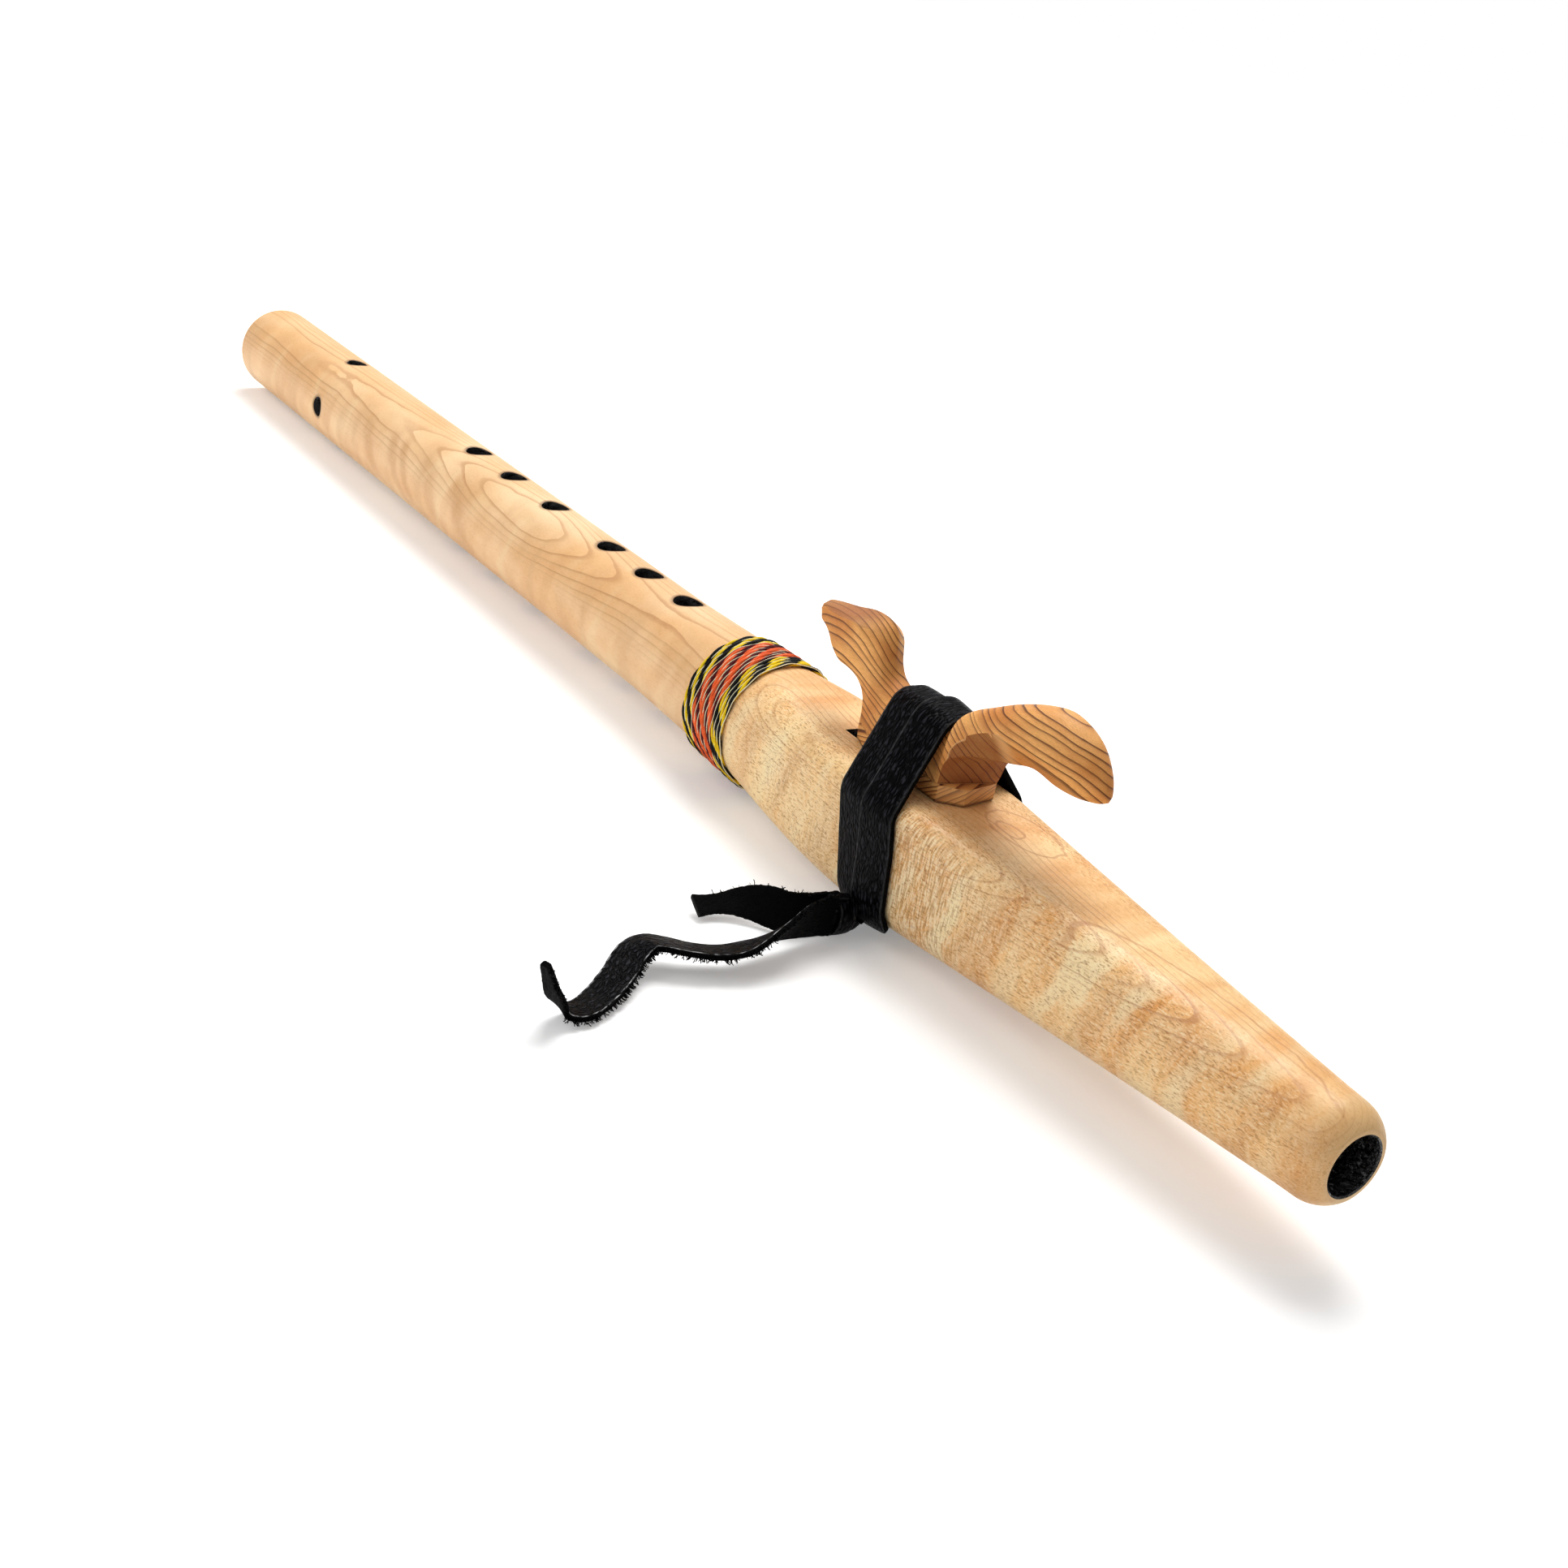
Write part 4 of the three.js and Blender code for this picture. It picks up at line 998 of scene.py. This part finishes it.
def addBird(sizes):
    rings = []
    for first, last in zip(crispRibs, crispRibs[1:]):
        fine = smoothRows(birdRibs[first:last + 1], sizes['rowsPerRib'])
        rings += [birdRing(row, sizes) for row in fine[0 if first == 0 else 1:]]
    bird = addLoft('carved_bird', rings, cedar)
    front, wide, end = sizes['frontHalfWidth'], sizes['halfWidth'], sizes['blockLength']
    corners = [(0, -front), (sizes['flareLength'], -wide), (end, -wide),
               (end + sizes['prow'], sizes['prowAside']), (end + sizes['farEnd'], wide),
               (sizes['flareLength'], wide), (0, front)]
    band = addLoft('band', [[(sizes['start'] + x, y, z) for x, y in corners]
                            for z in (sizes['seat'], sizes['seat'] + sizes['bandHeight'])], cedar)
    combine(bird, band, 'UNION')
    bevel = bird.modifiers.new('bevel', 'BEVEL')
    bevel.width = sizes['bevel']
    bevel.segments = 2
    bevel.limit_method = 'ANGLE'
    bevel.angle_limit = radians(sizes['bevelFrom'])
    bakeModifiers(bird)
    smoothShade(bird, sizes['crease'])
    return bird


# Cedar: bold dark rings that lean through the block, knife marks and oiled end grain, with painted shade and
# a painted rim highlight in the hollow under the tail
cedarLook = dict(
    normal=(0.24, 0.66, 0.72), period=1.5, tailStart=158, tailBend=0.0046, tailReach=21, tailTurn=0.6,
    headEnd=118, headBend=0.007, bandNormal=(-0.60, -0.50, 1.05), bandTop=39.9, seat=35.8, relief=0.00012,
    turning=(150.0, 174.0), oilAndShadeHollow=(134.0, 142.0, 170.0, 177.0), browShadeSpan=(122.0, 112.0),
)
cedarColors = dict(
    dark=(0.70, 0.270, 0.066), light=(0.97, 0.50, 0.155), band=(0.80, 0.50, 0.20), fibre=(0.42, 0.155, 0.040),
    endGrainAndShade=(0.18, 0.048, 0.016), lateWood=(0.40, 0.125, 0.030), ringLine=(0.080, 0.018, 0.006),
    edge=(0.95, 0.55, 0.24), brow=(0.34, 0.140, 0.070), seam=(0.05, 0.018, 0.008),
)


def makeCedar(look, colors):
    material, tree, shader = newMaterial('oiled_cedar', **{
        'Coat Roughness': 0.25, 'IOR': 1.47, 'Specular IOR Level': 0.22})
    x, y, z = tree.axes(tree.millimetres())
    drift = tree.grain(stretch=(0.022, 0.05, 0.05), rough=0.45, warp=0.2) - 0.5
    fine = tree.grain(stretch=(0.10, 0.35, 0.35)) - 0.5
    across, side, up = look['normal']
    # the rings curve with the tree, which turns them lengthwise in the tail and the head
    tail = tree.maths('MAXIMUM', x - look['tailStart'], 0.0)
    bent = tree.maths('MINIMUM', tail, look['tailReach'])
    head = tree.maths('MAXIMUM', look['headEnd'] - x, 0.0)
    curve = head * head * look['headBend'] - bent * (tail * 2 - bent) * look['tailBend']
    level = 1 - tree.smooth(x, *look['turning']) * look['tailTurn']
    depth = x * across + y * side * level + z * up + curve + drift * 4.6 + fine * 0.34
    # the glued-on band under the bird has its own grain
    below = tree.smooth(z, look['bandTop'] + 0.2, look['bandTop'] - 0.1)
    bandX, bandY, bandZ = look['bandNormal']
    depth = depth * (1 - below) + (z * bandZ + x * bandX + y * bandY) * below
    rings = depth / look['period'] + tree.noise(tree.vector(depth * 0.30), detail=1) * 2.6
    ring = tree.maths('FRACT', rings)
    number = tree.vector(tree.maths('FLOOR', rings) * 5.3, x * 0.01)
    strength = tree.smooth(tree.noise(number), 0.26, 0.56)
    late = tree.window(ring, 0.30, 0.92, 0.965, 1.0)
    thin = tree.window(ring, 0.70, 0.88, 0.955, 1.0) * (strength * 0.8 + 0.2)
    blotch = tree.smooth(tree.grain(stretch=(0.05, 0.11, 0.11)), 0.3, 0.7)
    fibres = tree.grain(stretch=(0.45, 4.0, 4.0), turn=(0, 0.2, 0), detail=3, rough=0.65)
    fibres = tree.smooth(fibres, 0.38, 0.68)
    # the hollow under the tail, where faces turn to the mouth end and down, is painted darker, partly end
    # grain that drinks more oil and partly painted shade; the beak's top is painted darker as painted shade
    facing = tree.axes(tree.node('ShaderNodeNewGeometry', output='Normal'))
    endGrainAndShade = tree.smooth(facing[0] * 0.8 - facing[2] * 0.6, 0.30, 0.50) * (1 - below * 0.8)
    endGrainAndShade = endGrainAndShade * tree.window(x, *look['oilAndShadeHollow'])
    # painted shade: the up-facing flats of the head are painted darker so that the flats show
    brow = tree.smooth(facing[2], 0.44, 0.62) * tree.smooth(x, *look['browShadeSpan'])
    base = tree.layers(tree.blend(blotch, colors['dark'], colors['light']), [
        (below * 0.25, colors['band']),
        (fibres * 0.30, colors['fibre']),
        (endGrainAndShade * 0.70, colors['endGrainAndShade']),
        (late * (below * 0.30 + 0.55) * (1 - endGrainAndShade * 0.6), colors['lateWood']),
        (thin * (below * 0.12 + 0.82), colors['ringLine']),
        # painted highlight: a light line along the hollow's rim, where its painted shade fades out
        (endGrainAndShade * (1 - endGrainAndShade) * 4 * 0.45, colors['edge']),
        (brow * 0.62, colors['brow']),
        (tree.smooth(z, look['seat'] + 0.9, look['seat']) * 0.7, colors['seam']),
    ])
    tree.feed(shader.inputs, {
        'Base Color': base,
        'Roughness': 0.52 - thin * 0.10 + fibres * 0.1,
        'Coat Weight': blotch * 0.06,
        'Normal': tree.bump(thin * 0.7 - fibres * 0.5, look['relief'], 0.6),
    })
    return material


cedar = makeCedar(cedarLook, cedarColors)
bird = addBird(birdSizes)
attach(bird, 'bird_and_tie')
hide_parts('bird_block')
print('bird carved with', len(bird.data.polygons), 'faces')


# Wound stretch of the lace: two turns side by side that cross over under the belly
wrapSizes = dict(
    station=425.61, turns=2, bend=14, run=9, saddleRadius=5.6, saddleFlat=1.4, saddleTop=31.8, cross=6,
    tuck=8, tuckReach=6, lap=1.2, lowLap=2.6, lowFrom=8, lowReach=22, farLean=2.5, farFrom=2, farReach=14,
    widen=0.3, crown=0.16, wear=0.05,
)


# Places round a belt over circles, each with the way out of it
def beltPlaces(circles, bendSteps, runSteps):
    following = circles[1:] + circles[:1]
    leaving = []
    for (y, z, radius), (nextY, nextZ, nextRadius) in zip(circles, following):
        distance = hypot(nextY - y, nextZ - z)
        leaving.append(atan2(nextZ - z, nextY - y) + acos((radius - nextRadius) / distance))
    places = []
    for k, (y, z, radius) in enumerate(circles):
        bend = (leaving[k - 1] - leaving[k]) % (2 * pi)
        for step in range(bendSteps + 1):
            angle = leaving[k - 1] - bend * step / bendSteps
            outY, outZ = cos(angle), sin(angle)
            places.append((y + radius * outY, z + radius * outZ, outY, outZ))
        nextY, nextZ, nextRadius = following[k]
        fromY, fromZ, outY, outZ = places[-1]
        toY, toZ = nextY + nextRadius * outY, nextZ + nextRadius * outZ
        for step in range(1, runSteps):
            places.append((mix(fromY, toY, step / runSteps), mix(fromZ, toZ, step / runSteps), outY, outZ))
    return places


def wrapRows(sizes):
    halfWidth, top, belly, topCorner, bellyCorner = sectionAt(flareEnd)
    grow = laceSizes['seatGap'] + laceSizes['thickness'] / 2
    near = [(bellyCorner - halfWidth, bellyCorner - belly, bellyCorner + grow),
            (topCorner - halfWidth, top - topCorner, topCorner + grow),
            (-sizes['saddleFlat'], sizes['saddleTop'] - sizes['saddleRadius'], sizes['saddleRadius'] + grow)]
    far = [(-y, z, radius) for y, z, radius in reversed(near)]
    places = beltPlaces(near + far, sizes['bend'], sizes['run'])
    begin = sizes['bend'] // 2
    turn = places[begin:] + places[:begin + 1]
    onBelly = [outZ < -cos(pi / (8 * sizes['bend'])) for y, z, outY, outZ in turn]
    firstOnBelly = onBelly.index(True)
    bellyY = halfWidth - bellyCorner
    highest = max(z for y, z, outY, outZ in turn)
    thickness, width = laceSizes['thickness'], laceSizes['width']
    rows = []
    for count in range(sizes['turns']):
        last = count == sizes['turns'] - 1
        for k, (y, z, outY, outZ) in enumerate(turn):
            if count and k == 0:
                continue
            crossed = ease((bellyY - y) / (2 * bellyY + sizes['cross']))
            crossing = crossed if k >= firstOnBelly else 0
            if count and outZ < 0 and y < -bellyY and k < firstOnBelly:
                crossing = crossed - 1
            under = 1 if k >= firstOnBelly else ease(clamp01(-outZ) if y > 0 else 0)
            closing = last and k >= firstOnBelly
            shift = count * (1 - crossing) if closing else count + crossing
            lift = (thickness + laceSizes['layerGap']) * under if last else 0
            # under the belly the lace is drawn a little to the foot
            tuck = ease((y + halfWidth) / sizes['tuckReach']) * ease((halfWidth - y) / sizes['tuckReach'])
            tuck = sizes['tuck'] * tuck if outZ < 0 else 0
            # the second turn laps over the edge of the first, more so low on the side
            over = clamp01(shift)
            lap = over * (sizes['lap'] + sizes['lowLap'] * ease((sizes['lowFrom'] - z) / sizes['lowReach']))
            lap += sizes['farLean'] * ease((y - sizes['farFrom']) / sizes['farReach'])
            lift += over * thickness / 2
            station = sizes['station'] + (width + laceSizes['turnGap']) * shift
            station += laceSizes['lean'] * (highest - z) - tuck - lap
            tilt = over * thickness / width
            outward = Vector((0, outY, outZ))
            across = (Vector((1, 0, 0)) - tilt * outward).normalized()
            out = (outward + Vector((tilt, 0, 0))).normalized()
            centre = Vector((station, y + lift * outY, z + lift * outZ))
            rows.append((centre, across, out, width + sizes['widen']))
    return rows


wrap = addStrip('lace_wound', wrapRows(wrapSizes), laceSizes['thickness'], wrapSizes['crown'], wrapLeather,
                wrapSizes['wear'], seed=9)
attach(wrap, 'bird_and_tie')
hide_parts('lace_wrap')
print('lace wound')


# Thread wrap: each band is a winding of two plies twisted together, and a fine cream
# strand that lies in the groove between its loops. A band has its loops, the colours of
# its two plies, its slot and the turn that its plies start at.
threadSizes = dict(start=350.3, pitch=1.65, ply=0.53, secondPly=0.80, offset=0.24, cream=0.13, twist=9.47,
                   gap=0.2, steps=96, sides=8, seam=0.3, creamRise=0.42, creamSway=0.3, creamShift=0.5,
                   growthSpan=5, crease=60, creamColor=(1.0, 0.86, 0.58))
threadBands = [
    ('foot', 3, (0.0016, 0.0014, 0.0014), (1.0, 0.61, 0.010), 'amber_thread', 0.4),
    ('middle', 6, (0.90, 0.125, 0.030), (0.080, 0.006, 0.009), 'red_thread', 1.9),
    ('head', 3, (0.0016, 0.0014, 0.0014), (1.0, 0.61, 0.010), 'amber_thread', 3.1),
]


def makeThread(name, color):
    material, tree, shader = newMaterial(name, **{'Specular IOR Level': 0.15, 'IOR': 1.5})
    hairs = tree.grain(stretch=(3.0, 1.2, 1.2), scale=2.2, detail=3, rough=0.7)
    patches = tree.noise(tree.millimetres(), 0.35)
    dark = [channel * 0.80 for channel in color]
    light = [min(1, channel * 1.2 + 0.002) for channel in color]
    tree.feed(shader.inputs, {
        'Base Color': tree.blend(tree.smooth(hairs * 0.6 + patches * 0.4, 0.35, 0.62), dark, light),
        'Roughness': hairs * 0.2 + 0.55,
        'Normal': tree.bump(hairs, 0.0001, 0.6),
    })
    return material


# One strand as a helix on a swelling round body, with its own circling inside the cord
def strandNodes(tree, values, offset, radius, phase, shift, material):
    start, loops, pitch, seat, growth, twist, steps = values
    line = tree.node('GeometryNodeMeshLine', None, {'Count': tree.maths('ROUND', loops * steps) + 1})
    turn = tree.node('GeometryNodeInputIndex') / steps
    angle = turn * (2 * pi)
    inner = angle * (seat / twist) * (2 * pi) + phase
    station = start + (turn + shift) * pitch
    reach = seat + (station - start) * growth + offset * tree.maths('COSINE', inner)
    spot = tree.vector(station + offset * tree.maths('SINE', inner), reach * tree.maths('SINE', angle),
                       axisHeight / 1000 - reach * tree.maths('COSINE', angle))
    line = tree.node('GeometryNodeSetPosition', None, {'Geometry': line, 'Position': spot})
    curve = tree.node('GeometryNodeMeshToCurve', None, {'Mesh': line})
    return tree.finished(tree.tube(curve, threadSizes['sides'], radius), material)


# Two plies on opposite sides of the cord, and the cream strand half a loop on
def threadTree():
    sizes = threadSizes
    floats = ('Start', 'Loops', 'Pitch', 'Seat', 'Growth', 'Twist', 'Steps',
              'Ply', 'Offset', 'Cream', 'Phase')
    materials = ('First material', 'Second material', 'Cream material')
    group, tree, wires = newGroup('thread_winding', [(title, 'Float') for title in floats]
                                  + [(title, 'Material') for title in materials])
    start, loops, pitch, seat, growth, twist, steps, ply, offset, cream, phase, first, second, pale = wires
    values = (start, loops, pitch, seat, growth, twist, steps)
    raised = (start, loops, pitch, seat + ply * sizes['creamRise'], growth, twist, steps)
    sway, thinner = ply * sizes['creamSway'], ply * sizes['secondPly']
    join = tree.nodes.new('GeometryNodeJoinGeometry')
    for strand in (strandNodes(tree, values, offset, ply, phase, 0, first),
                   strandNodes(tree, values, offset, thinner, phase + pi, 0, second),
                   strandNodes(tree, raised, sway, cream, 0, sizes['creamShift'], pale)):
        tree.links.new(strand.socket, join.inputs[0])
    tree.feed(tree.nodes.new('NodeGroupOutput').inputs, {0: Wire(tree, join.outputs[0])})
    return group


def addThreadBands(sizes, bands):
    group = threadTree()
    creamThread = makeThread('cream_thread', sizes['creamColor'])
    station = sizes['start']
    for title, loops, firstColor, secondColor, slot, phase in bands:
        band = addMesh('thread_wound_' + title, [], [])
        modifier = band.modifiers.new('winding', 'NODES')
        modifier.node_group = group
        radius = sectionAt(station)[1]
        seat = radius + sizes['gap'] + sizes['ply'] + sizes['offset'] * 0.5
        inputs = {key.capitalize(): sizes[key] / 1000 for key in ('pitch', 'twist', 'ply', 'offset', 'cream')}
        setInputs(modifier, {
            **inputs, 'Start': (station - bodyLength / 2) / 1000, 'Seat': seat / 1000, 'Phase': phase,
            'Growth': (sectionAt(station + sizes['growthSpan'])[1] - radius) / sizes['growthSpan'],
            'Loops': float(loops), 'Steps': float(sizes['steps']),
            'First material': makeThread(title + '_thread_first', firstColor),
            'Second material': makeThread(title + '_thread_second', secondColor),
            'Cream material': creamThread,
        })
        bakeModifiers(band)
        smoothShade(band, sizes['crease'])
        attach(band, 'flute_body')
        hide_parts('thread_band_' + title)
        print('thread band', title, 'wound with', len(band.data.polygons), 'faces')
        station += loops * sizes['pitch'] + sizes['seam']


addThreadBands(threadSizes, threadBands)


# Floor, light and white surroundings. The floor leans by the little that the flute
# rests on: the lace under the belly at one end and the foot's rim at the other.
floorSizes = dict(reach=4.0, contact=0.138, lean=0.012, drop=0.0004, gray=0.93, glowNear=0.22, glowFar=1.15,
                  glowFrom=500.0, glowTo=1100.0)
lights = [
    dict(name='key', location=(-0.70, 0.63, 1.60), size=1.15, power=36.0),
    dict(name='fill', location=(-0.25, -1.3, 0.95), size=1.3, power=8.6),
]


# The floor glows for the camera alone, so that it is white but keeps its shadows
def makeFloor(sizes):
    material, tree, shader = newMaterial('white_floor', **{'Roughness': 0.9, 'Specular IOR Level': 0.1})
    x, y, z = tree.axes(tree.millimetres())
    far = tree.smooth(tree.distance(x, y), sizes['glowFrom'], sizes['glowTo'])
    seen = tree.rays('Is Camera Ray', 'Is Glossy Ray', 'Is Transmission Ray')
    glow = seen * (far * (1 - sizes['glowNear']) + sizes['glowNear'])
    tree.feed(shader.inputs, {
        'Base Color': (sizes['gray'], sizes['gray'], sizes['gray'], 1),
        'Emission Color': tree.blend(glow, (0, 0, 0), (1, 1, 1)),
        'Emission Strength': sizes['glowFar'],
    })
    return material


def addFloor(sizes):
    reach = sizes['reach']
    corners = [(x, y, -(x - sizes['contact']) * sizes['lean'] - sizes['drop'])
               for x, y in ((-reach, -reach), (reach, -reach), (reach, reach), (-reach, reach))]
    addMesh('floor', corners, [(0, 1, 2, 3)], makeFloor(sizes))


def addLight(name, location, size, power):
    data = bpy.data.lights.new(name, 'AREA')
    data.size = size
    data.energy = power
    lamp = bpy.data.objects.new(name, data)
    lamp.location = location
    lamp.rotation_euler = (-Vector(location)).to_track_quat('-Z', 'Y').to_euler()
    scene.collection.objects.link(lamp)


def whiteWorld(ambient):
    world = bpy.data.worlds.new('white surroundings')
    world.use_nodes = True
    tree = NodeTree(world.node_tree)
    seen = tree.rays('Is Camera Ray', 'Is Transmission Ray')
    tree.feed(world.node_tree.nodes['Background'].inputs,
              {'Color': (1, 1, 1, 1), 'Strength': seen * (1 - ambient) + ambient})
    scene.world = world


addFloor(floorSizes)
for light in lights:
    addLight(**light)
whiteWorld(ambient=0.32)
print('floor and lights placed')
